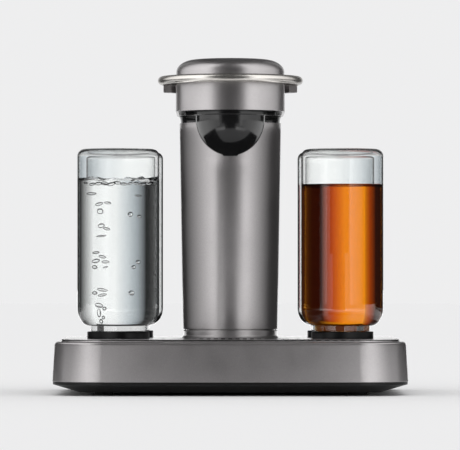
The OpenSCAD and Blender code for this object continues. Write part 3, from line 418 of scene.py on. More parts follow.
def fit(piece, body, slot, finish, *replaced):
    """Give a new piece its finish and its body, and hide the nodes that it stands for. The slot is not used.
    """
    piece.data.materials.clear()
    piece.data.materials.append(finish)
    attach(piece, body)
    if replaced:
        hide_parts(*replaced)


def middle(node):
    """Give the middle of a CAD node's box."""
    low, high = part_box(node)
    return [(low[i] + high[i]) / 2 for i in range(3)]


shell_low, shell_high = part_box("base_shell")
shell_wall = 0.0025
shell_draft = 0.0022
shell_rim = 0.018
shell_corner = 0.048
shell_ease = 0.0032
base_shell = slab("base_shell_painted", shell_low, shell_high, shell_corner, 20)
pick(base_shell, "FACE", lambda face: face.normal.z > 0.9)
drafted = (1 - shell_draft / shell_high.x, 1 - shell_draft / shell_high.y, 1)
bpy.ops.transform.resize(value=drafted, center_override=(0, 0, shell_high.z))
bpy.ops.mesh.bevel(offset=shell_ease, segments=6, affect="EDGES")
bpy.ops.object.mode_set(mode="OBJECT")
pick(base_shell, "FACE", lambda face: abs(face.normal.z) > 0.999 and face.center.z > shell_high.z - 1e-5)
bpy.ops.mesh.inset(thickness=shell_rim)
bpy.ops.mesh.delete(type="FACE")
bpy.ops.object.mode_set(mode="OBJECT")
pick(base_shell, "FACE", lambda face: face.normal.z < -0.9)
bpy.ops.mesh.delete(type="FACE")
bpy.ops.object.mode_set(mode="OBJECT")
wall_depth = base_shell.modifiers.new("wall", "SOLIDIFY")
wall_depth.thickness = shell_wall
wall_depth.offset = -1
bpy.ops.object.modifier_apply(modifier=wall_depth.name)
gland_x = middle("cord_gland")[0]
gland_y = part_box("cord_gland")[1].y
gland_z = middle("cord_gland")[2]
gland_hole_r = 0.0062
gland_hole_l = 0.012
cut_out(base_shell, rod(gland_x, gland_y, gland_z, gland_hole_r, gland_hole_l, (math.pi / 2, 0, 0)))
ease_edges(base_shell, 0.0004, 2)
fit(base_shell, "base", "grey_paint", grey_paint, "base_shell")


# Deck plate: a flat painted plate under a thin skin, with a black gasket showing as a line between the two.
# Round holes take the docks, the drip tray, the column and the tank socket.
def joined(piece, *others):
    """Join other pieces into a piece."""
    bpy.ops.object.select_all(action="DESELECT")
    for other in others:
        other.select_set(True)
    piece.select_set(True)
    bpy.context.view_layer.objects.active = piece
    bpy.ops.object.join()


deck_low, deck_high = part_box("deck_plate")
deck_corner = 0.0393
deck_t = deck_high.z - deck_low.z
tray_low, tray_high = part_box("drip_tray")
tray_y = middle("drip_tray")[1]
column_y = middle("column_foot")[1]
valve_y = middle("tank_valve")[1]
panel_low, panel_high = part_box("touch_panel")
gasket_inset = 0.0004
gasket_low_z = deck_high.z - 0.0012
gasket_high_z = deck_high.z - 0.0003
deck = slab("deck_plate_painted", deck_low, (deck_high.x, deck_high.y, gasket_low_z), deck_corner, 20)
joined(deck, slab("deck_skin", (deck_low.x, deck_low.y, gasket_high_z), deck_high, deck_corner, 20))
gasket_low = (deck_low.x + gasket_inset, deck_low.y + gasket_inset, gasket_low_z)
gasket_high = (deck_high.x - gasket_inset, deck_high.y - gasket_inset, gasket_high_z)
gasket = slab("deck_gasket", gasket_low, gasket_high, deck_corner - gasket_inset, 20)
bore_r = 0.04
tray_gap = 0.0006
valve_hole_r = 0.0112
dock_hole_r = 0.0294
dock_names = ("dock_front_left", "dock_front_right", "dock_rear_left", "dock_rear_right")
holes = [(0, tray_y, tray_high.x + tray_gap), (0, column_y, bore_r), (0, valve_y, valve_hole_r)]
for name in dock_names:
    holes.append((*middle(name)[:2], dock_hole_r))
for x, y, radius in holes:
    cut_out(deck, rod(x, y, deck_low.z + deck_t / 2, radius, deck_t * 3))
    cut_out(gasket, rod(x, y, deck_low.z + deck_t / 2, radius, deck_t * 3))
pocket_gap = 0.0002
pocket_corner = 0.004
pocket_low = (panel_low.x - pocket_gap, panel_low.y - pocket_gap, deck_high.z - deck_t / 2)
pocket_high = (panel_high.x + pocket_gap, panel_high.y + pocket_gap, deck_high.z + deck_t)
cut_out(deck, slab("panel_pocket", pocket_low, pocket_high, pocket_corner, 8))
cut_out(gasket, slab("gasket_pocket", pocket_low, pocket_high, pocket_corner, 8))
ease_edges(deck, 0.00012, 2)
fit(deck, "base", "grey_paint", grey_paint, "deck_plate")
ease_edges(gasket, 0.0001, 1)
gloss_dark = (0.006, 0.006, 0.0065)
gloss_light = (0.009, 0.009, 0.0095)
gloss_black = grained("gloss_black", gloss_dark, gloss_light, (0.14, 0.2), 160, 0.000015)
fit(gasket, "base", "black_plastic", gloss_black)


# Touch panel: a gloss black strip let into the deck at the front right, with an eased edge.
# A row of small plain light windows of smoked plastic runs below it in the deck's front edge.
def copied(piece, name, move):
    """Copy a piece with its own mesh, moved in the mesh."""
    twin = piece.copy()
    twin.data = piece.data.copy()
    named(twin, name)
    scene.collection.objects.link(twin)
    pick(twin, "VERT", lambda vertex: True)
    bpy.ops.transform.translate(value=move)
    bpy.ops.object.mode_set(mode="OBJECT")
    return twin


panel = slab("touch_panel_glass", panel_low, panel_high, 0.0038, 8)
ease_edges(panel, 0.0003, 2)
fit(panel, "base", "black_plastic", gloss_black, "touch_panel")
window_count = 12
window_pitch = 0.0079
window_half = (0.0019, 0.0004, 0.00042)
window_start = (panel_low.x + panel_high.x - (window_count - 1) * window_pitch) / 2
bpy.ops.object.select_all(action="DESELECT")
bpy.ops.mesh.primitive_uv_sphere_add(segments=32, ring_count=16, radius=1)
windows = bpy.context.object
named(windows, "light_windows")
windows.scale = window_half
windows.location = (window_start, deck_low.y + gasket_inset, (gasket_low_z + gasket_high_z) / 2)
bpy.ops.object.transform_apply(location=True, rotation=True, scale=True)
bpy.ops.object.shade_smooth()
others = [copied(windows, "light_window", (k * window_pitch, 0, 0)) for k in range(1, window_count)]
joined(windows, *others)
smoked_window = grained("smoked_window", (0.05, 0.05, 0.052), (0.07, 0.07, 0.072), (0.35, 0.45), 700, 0.00002)
fit(windows, "base", "black_plastic", smoked_window)


# Docks: four black collars on the deck, each with a socket below it for a bottle's valve cap.
# Turned satin black mouldings with eased rims, held in the deck by their spigots.
def arc_points(r, z, reach_r, reach_z, start, end, steps=10):
    """Points of an elliptical arc about (r, z), from angle start to angle end in degrees."""
    turns = [math.radians(start + (end - start) * k / steps) for k in range(steps + 1)]
    return [(r + reach_r * math.cos(turn), z + reach_z * math.sin(turn)) for turn in turns]


def eased(outline, steps=5):
    """Round each corner of an outline that gives a reach as its third number, with a point beside it on
    each side that keeps the flats flat."""
    points = []
    for i, corner in enumerate(outline):
        if len(corner) == 2:
            points.append(corner)
            continue
        r, z, reach = corner
        beside = 1.4 * reach
        sides = []
        for other in (outline[i - 1], outline[i + 1]):
            away = math.hypot(other[0] - r, other[1] - z)
            sides.append(((other[0] - r) / away, (other[1] - z) / away))
        (ar, az), (br, bz) = sides
        points.append((r + ar * beside, z + az * beside))
        for k in range(steps + 1):
            t = k / steps
            back = (1 - t) ** 2 * reach
            ahead = t ** 2 * reach
            points.append((r + ar * back + br * ahead, z + az * back + bz * ahead))
        points.append((r + br * beside, z + bz * beside))
    return points


def turned(name, outline, x, y, steps=128):
    """Turn an outline of (radius, height) about the upright line through (x, y)."""
    bpy.ops.object.select_all(action="DESELECT")
    bpy.ops.mesh.primitive_plane_add(size=0.001)
    piece = bpy.context.object
    named(piece, name)
    bpy.ops.object.mode_set(mode="EDIT")
    bpy.ops.mesh.select_mode(type="VERT")
    bpy.ops.mesh.select_all(action="SELECT")
    bpy.ops.mesh.merge(type="CENTER")
    bpy.ops.transform.translate(value=(x + outline[0][0], y, outline[0][1]))
    for last, point in zip(outline, outline[1:]):
        step = (point[0] - last[0], 0, point[1] - last[1])
        bpy.ops.mesh.extrude_vertices_move(TRANSFORM_OT_translate={"value": step})
    bpy.ops.mesh.select_all(action="SELECT")
    bpy.ops.mesh.spin(steps=steps, angle=math.tau, center=(x, y, 0), axis=(0, 0, 1))
    bpy.ops.mesh.select_all(action="SELECT")
    bpy.ops.mesh.remove_doubles(threshold=2e-6)
    bpy.ops.mesh.normals_make_consistent(inside=False)
    bpy.ops.object.mode_set(mode="OBJECT")
    bpy.ops.object.shade_smooth_by_angle(angle=math.radians(35))
    return piece


dock_low, dock_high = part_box("dock_front_left")
dock_x, dock_y = middle("dock_front_left")[:2]
dock_r = (dock_high.x - dock_low.x) / 2
dock_bore = 0.0256
dock_spigot_r = dock_r - 0.0011
socket_z = 0.043
barb_z = dock_low.z + 0.005
barb_r = 0.0025
barb_bore = 0.0015
dock_outline = [
    (barb_bore, dock_low.z),
    (barb_r, dock_low.z),
    (barb_r, barb_z),
    (dock_spigot_r, barb_z, 0.0006),
    (dock_spigot_r, deck_high.z),
    (dock_r, deck_high.z, 0.0003),
    (dock_r, dock_high.z, 0.0009),
    (dock_bore, dock_high.z, 0.0008),
    (dock_bore, socket_z),
    (barb_bore, socket_z),
    (barb_bore, dock_low.z),
]
first_dock = turned("dock_front_left_collar", eased(dock_outline), dock_x, dock_y)
docks = {"dock_front_left": first_dock}
for name in dock_names[1:]:
    x, y = middle(name)[:2]
    docks[name] = copied(first_dock, name + "_collar", (x - dock_x, y - dock_y, 0))
for name, dock in docks.items():
    fit(dock, "base", "satin_black", satin_black, name)

# Tank dock: the black seat on the deck behind the column, with the socket for the tank's valve.
# A satin black moulding screwed to the deck from below.
dress(satin_black, "tank_dock")

# Drip tray and grate: a round black tray hung in the deck by its rim, with a slotted grate let into it.
# Both are satin black mouldings and lift out for washing.
grate_low, grate_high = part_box("drip_grate")
grate_r = grate_high.x
grate_gap = 0.0002
tray_rim_r = tray_high.x
tray_flange = 0.009
tray_r = tray_rim_r - tray_flange
tray_seat_z = deck_low.z + 0.0003
tray_wall = 0.0016
tray_foot = 0.004
tray_rest = 0.002
tray_outline = [
    (0, tray_low.z),
    (tray_r - tray_foot, tray_low.z, 0.0012),
    (tray_r, tray_low.z + tray_foot, 0.0012),
    (tray_r, tray_seat_z),
    (tray_rim_r, tray_seat_z),
    (tray_rim_r, tray_high.z, 0.0006),
    (grate_r + grate_gap, tray_high.z, 0.0004),
    (grate_r + grate_gap, grate_low.z),
    (grate_r - tray_rest, grate_low.z, 0.0003),
    (grate_r - tray_rest, grate_low.z - tray_rest),
    (tray_r - tray_wall, grate_low.z - tray_rest),
    (tray_r - tray_wall, tray_low.z + tray_foot + tray_wall / 2, 0.001),
    (tray_r - tray_foot - tray_wall / 2, tray_low.z + tray_wall, 0.001),
    (0, tray_low.z + tray_wall),
]
tray = turned("drip_tray_bowl", eased(tray_outline), 0, tray_y)
fit(tray, "tray", "satin_black", satin_black, "drip_tray")
grate_t = grate_high.z - grate_low.z
grate = rod(0, tray_y, grate_low.z + grate_t / 2, grate_r, grate_t, sides=160)
named(grate, "drip_grate_disc")
bpy.ops.object.transform_apply(location=True, rotation=True, scale=True)
slot_w = 0.004
slot_pitch = 0.007
slot_reach = 5
slot_field = grate_r - 0.004
slot_rib = 0.0015
slot_corner = 0.0016
slots = []
for k in range(-slot_reach, slot_reach + 1):
    x = k * slot_pitch
    reach = math.sqrt(slot_field ** 2 - (abs(x) + slot_w / 2) ** 2)
    for near, far in ((slot_rib, reach), (-reach, -slot_rib)):
        slot_low = (x - slot_w / 2, tray_y + near, grate_low.z - grate_t)
        slot_high = (x + slot_w / 2, tray_y + far, grate_high.z + grate_t)
        slots.append(slab("grate_slot", slot_low, slot_high, slot_corner, 5))
joined(*slots)
cut_out(grate, slots[0])
ease_edges(grate, 0.0003, 2)
fit(grate, "grate", "satin_black", satin_black, "drip_grate")

# Column: a foot collar with a flared skirt, a narrow seam, and the tapered painted tube above it.
# Painted mouldings; the collar is screwed to the deck and the tube slips over its spigot.
foot_low, foot_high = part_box("column_foot")
column_low, column_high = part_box("column_shell")
skirt_r = (foot_high.x - foot_low.x) / 2
skirt_h = 0.0016
column_top_r = (column_high.x - column_low.x) / 2
column_foot_r = column_top_r - 0.0033
column_wall = 0.0028
column_socket = 0.01
collar_r = column_foot_r - 0.0002
collar_top = column_low.z - 0.001
spigot_r = column_foot_r - 0.003
foot_outline = [
    (bore_r, foot_low.z),
    (skirt_r, foot_low.z, 0.0003),
    (collar_r, foot_low.z + skirt_h, 0.0009),
    (collar_r, collar_top, 0.0005),
    (spigot_r, collar_top),
    (spigot_r, foot_high.z),
    (bore_r, foot_high.z),
    (bore_r, foot_low.z),
]
column_foot = turned("column_foot_collar", eased(foot_outline), 0, column_y)
fit(column_foot, "base", "grey_paint", grey_paint, "column_foot")
column_outline = [
    (column_foot_r - column_wall, column_low.z),
    (column_foot_r, column_low.z, 0.0006),
    (column_top_r, column_high.z, 0.0006),
    (column_top_r - column_wall, column_high.z),
    (column_foot_r - column_wall, column_low.z + column_socket),
    (column_foot_r - column_wall, column_low.z),
]
column = turned("column_tube", eased(column_outline), 0, column_y)
fit(column, "base", "grey_paint", grey_paint, "column_shell")

# Neck ring: a black ring with a hollow throat between the column and the wider head.
# Gloss black plastic, pressed into the top of the column.
neck_low, neck_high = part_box("neck_ring")
neck_z = column_high.z
neck_turn_z = neck_z + 0.001
neck_top_r = (neck_high.x - neck_low.x) / 2
neck_waist_r = column_top_r - 0.0012
neck_plug_r = column_top_r - 0.0036
neck_flare = neck_top_r - neck_waist_r
neck_outline = [
    (bore_r, neck_low.z),
    (neck_plug_r, neck_low.z),
    (neck_plug_r, neck_z),
    (neck_waist_r, neck_z),
]
neck_outline += arc_points(neck_top_r, neck_turn_z, neck_flare, neck_high.z - neck_turn_z, 180, 90)
neck_outline += [(bore_r, neck_high.z), (bore_r, neck_low.z)]
neck = turned("neck_ring_black", neck_outline, 0, column_y)
fit(neck, "base", "black_plastic", gloss_black, "neck_ring")

# Mixing dome and nozzle: a gloss black bowl hung below the head, with two lugs, and the outlet in its tip.
# The bowl twists on by its lugs; the nozzle is pressed into it.
dome_low, dome_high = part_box("mixing_dome")
nozzle_low, nozzle_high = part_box("nozzle")
nozzle_y = middle("nozzle")[1]
dome_r = 0.0333
dome_z = dome_high.z - 0.007
dome_wall = 0.0024
dome_tip_r = (nozzle_high.x - nozzle_low.x) / 2
dome_tip_z = dome_low.z
dome_tip_turn = math.degrees(math.acos(dome_tip_r / dome_r))
dome_depth = (dome_z - dome_tip_z) / math.sin(math.radians(dome_tip_turn))
tip_bore = 0.005
tip_bore_turn = math.degrees(math.acos(tip_bore / (dome_r - dome_wall)))
dome_collar_r = dome_r + 0.0027
dome_collar_z = dome_high.z - 0.0036
lug_w = 0.009
lug_in = dome_r + 0.001
lug_corner = 0.0016
dome_outline = [(dome_r - dome_wall, dome_high.z), (dome_r - dome_wall, dome_z)]
dome_outline += arc_points(0, dome_z, dome_r - dome_wall, dome_depth - dome_wall, -6, -tip_bore_turn, 24)
dome_outline += [(tip_bore, dome_tip_z)]
dome_outline += arc_points(0, dome_z, dome_r, dome_depth, -dome_tip_turn, 0, 36)
dome_outline += [
    (dome_r, dome_collar_z, 0.0004),
    (dome_collar_r, dome_collar_z, 0.0006),
    (dome_collar_r, dome_high.z),
    (dome_r - dome_wall, dome_high.z),
]
dome = turned("mixing_dome_bowl", eased(dome_outline), 0, nozzle_y)
lug_low = (lug_in, nozzle_y - lug_w / 2, dome_collar_z)
lug = slab("dome_lug", lug_low, (dome_high.x, nozzle_y + lug_w / 2, dome_high.z), lug_corner, 6)
ease_edges(lug, 0.0007, 3)
other_lug = copied(lug, "dome_other_lug", (-dome_high.x - lug_in, 0, 0))
joined(dome, lug, other_lug)
fit(dome, "base", "black_plastic", gloss_black, "mixing_dome")
nozzle_bore = 0.003
plug_r = tip_bore - 0.0001
nozzle_outline = [
    (nozzle_bore, nozzle_low.z),
    (dome_tip_r - 0.0008, nozzle_low.z, 0.0004),
    (dome_tip_r, dome_tip_z),
    (plug_r, dome_tip_z),
    (plug_r, nozzle_high.z, 0.0004),
    (nozzle_bore, nozzle_high.z),
    (nozzle_bore, nozzle_low.z),
]
nozzle = turned("nozzle_outlet", eased(nozzle_outline), 0, nozzle_y)
fit(nozzle, "base", "black_plastic", gloss_black, "nozzle")

# Head: a painted moulding with round ends that reaches from the column out over the nozzle.
# Its front stands up as a round cup for the lid; a black floor closes it below.
head_low, head_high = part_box("head_shell")
head_r = head_high.x
saddle_z = head_low.z + 0.0158
head_wall = 0.0025


def stadium(name, radius, low, high):
    """Add an upright round-ended block that reaches from the column to the nozzle."""
    piece = rod(0, column_y, (low + high) / 2, radius, high - low, sides=160)
    named(piece, name)
    bpy.ops.object.transform_apply(location=True, rotation=True, scale=True)
    pick(piece, "VERT", lambda vertex: vertex.co.y < column_y - 1e-5)
    bpy.ops.transform.translate(value=(0, nozzle_y - column_y, 0))
    bpy.ops.object.mode_set(mode="OBJECT")
    return piece


def sliced(piece, place, facing):
    """Cut away what lies on the side that a plane faces, and close the cut."""
    pick(piece, "FACE", lambda face: True)
    bpy.ops.mesh.bisect(plane_co=place, plane_no=facing, use_fill=True, clear_outer=True)
    bpy.ops.object.mode_set(mode="OBJECT")


cup_top = head_high.z
overcut = 0.01
head = stadium("head_shell_painted", head_r, head_low.z, cup_top)
rear_cut_low = (-2 * head_r, nozzle_y, saddle_z)
rear_cut_high = (2 * head_r, head_high.y + head_r, cup_top + overcut)
rear_cut = slab("head_rear_cut", rear_cut_low, rear_cut_high, 0.001, 1)
cut_out(rear_cut, rod(0, nozzle_y, saddle_z, head_r, 10 * overcut, sides=160))
cut_out(head, rear_cut)
cut_out(head, stadium("head_hollow", head_r - head_wall, head_low.z - overcut, saddle_z - head_wall))
cup_bore_low = saddle_z - 2 * head_wall
cup_bore_top = cup_top + overcut
cup_bore_mid = (cup_bore_low + cup_bore_top) / 2
cut_out(head, rod(0, nozzle_y, cup_bore_mid, head_r - head_wall, cup_bore_top - cup_bore_low, sides=160))
ease_edges(head, 0.0006, 3)
fit(head, "base", "grey_paint", grey_paint, "head_shell")
cover_low, cover_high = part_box("rear_cover")
cover_r = head_r - 0.002
cover_turn_z = cover_low.z + 0.002
cover_outline = [(0, cover_low.z), (cover_r, cover_low.z)]
cover_outline += arc_points(0, cover_turn_z, cover_r, cover_high.z - cover_turn_z, 0, 90, 28)
cover = turned("rear_cover_crown", cover_outline, 0, column_y)
sliced(cover, (0, cover_low.y, 0), (0, -1, 0))
ease_edges(cover, 0.0008, 3)
fit(cover, "base", "grey_paint", grey_paint, "rear_cover")
dress(satin_black, "head_floor", "capsule_holder", "mix_manifold", "hinge_bracket")

# Lid: a round painted cap with an upright side and a softly rounded shoulder, hinged behind.
# A black liner with a gasket and a steel piercer closes it below.
lid_low, lid_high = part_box("lid_shell")
lid_r = lid_high.x
lid_wall = 0.0025
lid_side = 0.0088
lid_shoulder = 0.019
lid_crown = 0.0006
lid_rise = lid_high.z - lid_low.z - lid_crown - lid_side
lid_flat_r = lid_r - lid_shoulder
lid_turn_z = lid_low.z + lid_side
lid_outline = [(0, lid_high.z), (lid_flat_r * 0.5, lid_high.z - lid_crown * 0.3)]
lid_outline += arc_points(lid_flat_r, lid_turn_z, lid_shoulder, lid_rise, 90, 0, 24)
lid_outline += [(lid_r, lid_low.z, 0.0006), (lid_r - lid_wall, lid_low.z)]
lid_outline += arc_points(lid_flat_r, lid_turn_z, lid_shoulder - lid_wall, lid_rise - lid_wall, 0, 90, 16)
lid_outline += [(0, lid_high.z - lid_wall - lid_crown)]
lid = turned("lid_cap", eased(lid_outline), 0, nozzle_y)
fit(lid, "lid", "grey_paint", grey_paint, "lid_shell")
dress(satin_black, "lid_liner")


# Handle ring: a round bar of brushed stainless steel bent into a ring about the lid and welded shut.
# The brushing runs along the bar.
def brush_group():
    """Build brush lines that run round the upright line through a centre."""
    group = bpy.data.node_groups.new("ring_brushing", "ShaderNodeTree")
    group.interface.new_socket("Centre", in_out="INPUT", socket_type="NodeSocketVector")
    group.interface.new_socket("Lines", in_out="INPUT", socket_type="NodeSocketFloat")
    group.interface.new_socket("Height", in_out="OUTPUT", socket_type="NodeSocketFloat")
    given = group.nodes.new("NodeGroupInput").outputs
    made = group.nodes.new("NodeGroupOutput")
    place = add_node(group, "TexCoord").outputs["Object"]
    moved = add_node(group, "VectorMath", {0: place, 1: given["Centre"]}, operation="SUBTRACT")
    split = add_node(group, "SeparateXYZ", {0: moved.outputs[0]}).outputs
    flat = add_node(group, "CombineXYZ", {"X": split["X"], "Y": split["Y"]})
    away = add_node(group, "VectorMath", {0: flat.outputs[0]}, operation="LENGTH")
    turn = add_node(group, "Math", {0: split["Y"], 1: split["X"]}, operation="ARCTAN2")
    slow = add_node(group, "Math", {0: turn.outputs[0], 1: 0.002}, operation="MULTIPLY")
    lie = add_node(group, "CombineXYZ", {"X": away.outputs["Value"], "Y": split["Z"], "Z": slow.outputs[0]})
    lines = add_node(group, "TexNoise", {"Vector": lie.outputs[0], "Scale": given["Lines"], "Detail": 3.0})
    feed(group, made, {"Height": lines.outputs["Fac"]})
    return group


ring_low, ring_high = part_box("handle_ring")
ring_z = middle("handle_ring")[2]
ring_tube = (ring_high.z - ring_low.z) / 2
ring_r = ring_high.x - ring_tube
steel_dark = (0.55, 0.527, 0.495)
steel_light = (0.66, 0.637, 0.605)
brushed_steel = new_finish("brushed_steel", {"Metallic": 1.0})
steel_tree = brushed_steel.node_tree
brush_lie = {"Centre": (0, nozzle_y, ring_z), "Lines": 5200.0}
brush = add_node(steel_tree, "Group", brush_lie, node_tree=brush_group()).outputs["Height"]
steel_gloss = add_node(steel_tree, "MapRange", {"Value": brush, "To Min": 0.22, "To Max": 0.34})
set_shader(brushed_steel, {
    "Base Color": mixed(steel_tree, brush, steel_dark, steel_light),
    "Roughness": steel_gloss.outputs[0],
    "Normal": relief(steel_tree, brush, 0.25, 0.00002),
})
ring_outline = arc_points(ring_r, ring_z, ring_tube, ring_tube, 0, 360, 32)
ring = turned("handle_ring_bar", ring_outline, 0, nozzle_y, 192)
fit(ring, "lid", "steel", brushed_steel, "handle_ring")
dress(brushed_steel, "piercer", "hinge_pin")

# Handle yoke: a painted band under the back of the ring, with a rib to the lid and the hinge knuckle.
# It carries ring and lid on the hinge pin.
yoke_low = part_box("handle_yoke")[0]
hinge_y, hinge_z = middle("hinge_pin")[1:]
yoke_r = ring_r - 0.00175
yoke_half = 0.00375
yoke_band_z = yoke_low.z + 0.0077
yoke_end = 0.02
yoke_ease = 0.001
yoke_outline = [
    (yoke_r - yoke_half, yoke_low.z + yoke_half),
    (yoke_r - yoke_half, yoke_low.z, yoke_ease),
    (yoke_r + yoke_half, yoke_low.z, yoke_ease),
    (yoke_r + yoke_half, yoke_band_z, yoke_ease),
    (yoke_r - yoke_half, yoke_band_z, yoke_ease),
    (yoke_r - yoke_half, yoke_low.z + yoke_half),
]
yoke = turned("handle_yoke_band", eased(yoke_outline), 0, nozzle_y, 192)
sliced(yoke, (0, nozzle_y + yoke_end, 0), (0, -1, 0))
rib_half = 0.018
rib_in = head_r + 0.0025
rib_low_z = lid_low.z + 0.0003
rib_top = lid_low.z + 0.006
rib_outline = [
    (lid_r, rib_low_z),
    (rib_in, rib_low_z),
    (rib_in, yoke_low.z),
    (yoke_r, yoke_low.z),
    (yoke_r, rib_top, yoke_ease),
    (lid_r, rib_top),
    (lid_r, rib_low_z),
]
rib = turned("handle_rib", eased(rib_outline), 0, nozzle_y, 192)
sliced(rib, (rib_half, 0, 0), (1, 0, 0))
sliced(rib, (-rib_half, 0, 0), (-1, 0, 0))
sliced(rib, (0, nozzle_y, 0), (0, -1, 0))
knuckle_half = 0.014
knuckle_r = 0.0045
arm_half = knuckle_r - 0.001
arm_low = (-knuckle_half, nozzle_y + yoke_r, hinge_z - arm_half)
arm = slab("handle_arm", arm_low, (knuckle_half, hinge_y, hinge_z + arm_half), 0.0004, 2)
knuckle = rod(0, hinge_y, hinge_z, knuckle_r, 2 * knuckle_half, (0, math.pi / 2, 0), 64)
bpy.ops.object.transform_apply(location=True, rotation=True, scale=True)
joined(yoke, rib, arm, knuckle)
ease_edges(yoke, 0.0005, 3)
fit(yoke, "lid", "grey_paint", grey_paint, "handle_yoke")


# Bottles: four clear glass bottles stood on their mouths, with dished bases, round edges and round shoulders.
# Moulded glass with a slight ripple; each screws into a black valve cap with its air vent.
def ripple(tree, scale, strength, depth):
    """Give the normal of a clear wall that is faintly uneven from its mould."""
    grain = add_node(tree, "Group", {"Grain Scale": scale}, node_tree=moulded_grain)
    return relief(tree, grain.outputs["Height"], strength, depth)


glass_tint = (0.985, 0.992, 0.99, 1)
glass_look = {"Base Color": glass_tint, "Roughness": 0.0, "IOR": 1.5, "Transmission Weight": 1.0}
bottle_glass = new_finish("bottle_glass", glass_look)
set_shader(bottle_glass, {"Normal": ripple(bottle_glass.node_tree, 55.0, 0.02, 0.0001)})

bottle_low, bottle_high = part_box("bottle_front_left")
bottle_x, bottle_y = middle("bottle_front_left")[:2]
bottle_r = (bottle_high.x - bottle_low.x) / 2
glass_t = 0.0011
glass_base = 0.0015
seat_z = dock_high.z + 0.0003
neck_r = 0.0267
neck_h = 0.0052
mouth_r = 0.02315
mouth_bore = mouth_r - glass_t
shoulder_h = 0.017
shoulder_z = seat_z + neck_h + shoulder_h
glass_edge = 0.007
bottle_top = bottle_high.z
crown_z = bottle_top - glass_edge
inner_r = bottle_r - glass_t
inner_edge = glass_edge - glass_t
inner_top = bottle_top - glass_base
inner_crown_z = inner_top - inner_edge
wall_step = 0.0006
bottle_outline = [(0, bottle_top - 0.0016), (0.014, bottle_top - 0.0013), (0.024, bottle_top - 0.0005)]
bottle_outline += arc_points(bottle_r - glass_edge, crown_z, glass_edge, glass_edge, 90, 0, 12)
bottle_outline += [(bottle_r, crown_z - wall_step), (bottle_r, shoulder_z + wall_step)]
bottle_outline += arc_points(neck_r, shoulder_z, bottle_r - neck_r, shoulder_h, 0, -90, 20)
bottle_outline += [(neck_r, seat_z, 0.0006), (mouth_r, seat_z)]
bottle_outline += [(mouth_r, bottle_low.z), (mouth_bore, bottle_low.z)]
inner_shoulder = arc_points(mouth_bore, shoulder_z, inner_r - mouth_bore, shoulder_h - glass_t, -90, 0, 20)
bottle_outline += inner_shoulder
bottle_outline += [(inner_r, shoulder_z + wall_step), (inner_r, inner_crown_z - wall_step)]
bottle_outline += arc_points(inner_r - inner_edge, inner_crown_z, inner_edge, inner_edge, 0, 90, 8)
bottle_outline += [(0, inner_top - 0.0006)]
first_bottle = turned("bottle_front_left_glass", eased(bottle_outline), bottle_x, bottle_y, 160)
bottles = {"front_left": first_bottle}
for name in ("front_right", "rear_left", "rear_right"):
    x, y = middle("bottle_" + name)[:2]
    bottles[name] = copied(first_bottle, "bottle_" + name + "_glass", (x - bottle_x, y - bottle_y, 0))
for name, bottle in bottles.items():
    fit(bottle, name + "_bottle", "bottle_glass", bottle_glass, "bottle_" + name)
    dress(satin_black, "cap_" + name)


# Spirits: a clear spirit in the front left bottle, with a lively surface and rising air, and an amber one
# in the front right bottle. Each wets the glass all round and ends at its own level.
def spirit_finish(name, ior, level, painted_shade_depth, painted_shade_tone):
    """Make a liquid finish with a faint unevenness. Its colour darkens to a painted shade tone just below its
    level, standing in for the dark line that light makes where its surface climbs the glass.
    """
    liquid = new_finish(name, {"Roughness": 0.0, "IOR": ior, "Transmission Weight": 1.0})
    tree = liquid.node_tree
    place = add_node(tree, "TexCoord")
    split = add_node(tree, "SeparateXYZ", {0: place.outputs["Object"]})
    # Painted shade: the base colour goes from white to the shade tone towards the level, for the dark line
    # where the surface meets the glass.
    line = {"From Min": level - painted_shade_depth, "From Max": level - painted_shade_depth * 0.5}
    painted_shade_mask = add_node(tree, "MapRange", {"Value": split.outputs["Z"], **line})
    tone = mixed(tree, painted_shade_mask.outputs[0], (1, 1, 1), painted_shade_tone)
    set_shader(liquid, {"Base Color": tone, "Normal": ripple(tree, 90.0, 0.02, 0.0001)})
    return liquid


def spirit_outline(level):
    """Give the outline of a spirit from the mouth of its bottle up to its level."""
    wet = 0.00005
    sag = 0.0012
    foot_z = bottle_low.z + 0.0002
    wet_r = inner_r + wet
    outline = [(0, foot_z), (mouth_bore + wet, foot_z)]
    outline += [(r + wet, z) for r, z in inner_shoulder]
    outline += [(wet_r, shoulder_z + wall_step), (wet_r, level - wall_step), (wet_r, level)]
    shares = (0.94, 0.85, 0.7, 0.55, 0.4, 0.25, 0.1, 0)
    return outline + [(inner_r * share, level - sag * (1 - share)) for share in shares]


clear_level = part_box("spirit_front_left")[1].z
# The clear spirit's painted shade is a pale grey over its top millimetre.
clear_spirit = spirit_finish("clear_spirit", 1.34, clear_level, 0.001, (0.6, 0.62, 0.65))
clear = turned("clear_spirit_fill", spirit_outline(clear_level), bottle_x, bottle_y, 160)
surface = clear.vertex_groups.new(name="surface")
surface.add([v.index for v in clear.data.vertices if v.co.z > clear_level - 0.002], 1.0, "REPLACE")
swell = bpy.data.textures.new("swell", "CLOUDS")
swell.noise_scale = 0.013
waves = clear.modifiers.new("waves", "DISPLACE")
waves.texture = swell
waves.vertex_group = "surface"
waves.direction = "Z"
waves.strength = 0.0085
bpy.context.view_layer.objects.active = clear
bpy.ops.object.modifier_apply(modifier=waves.name)
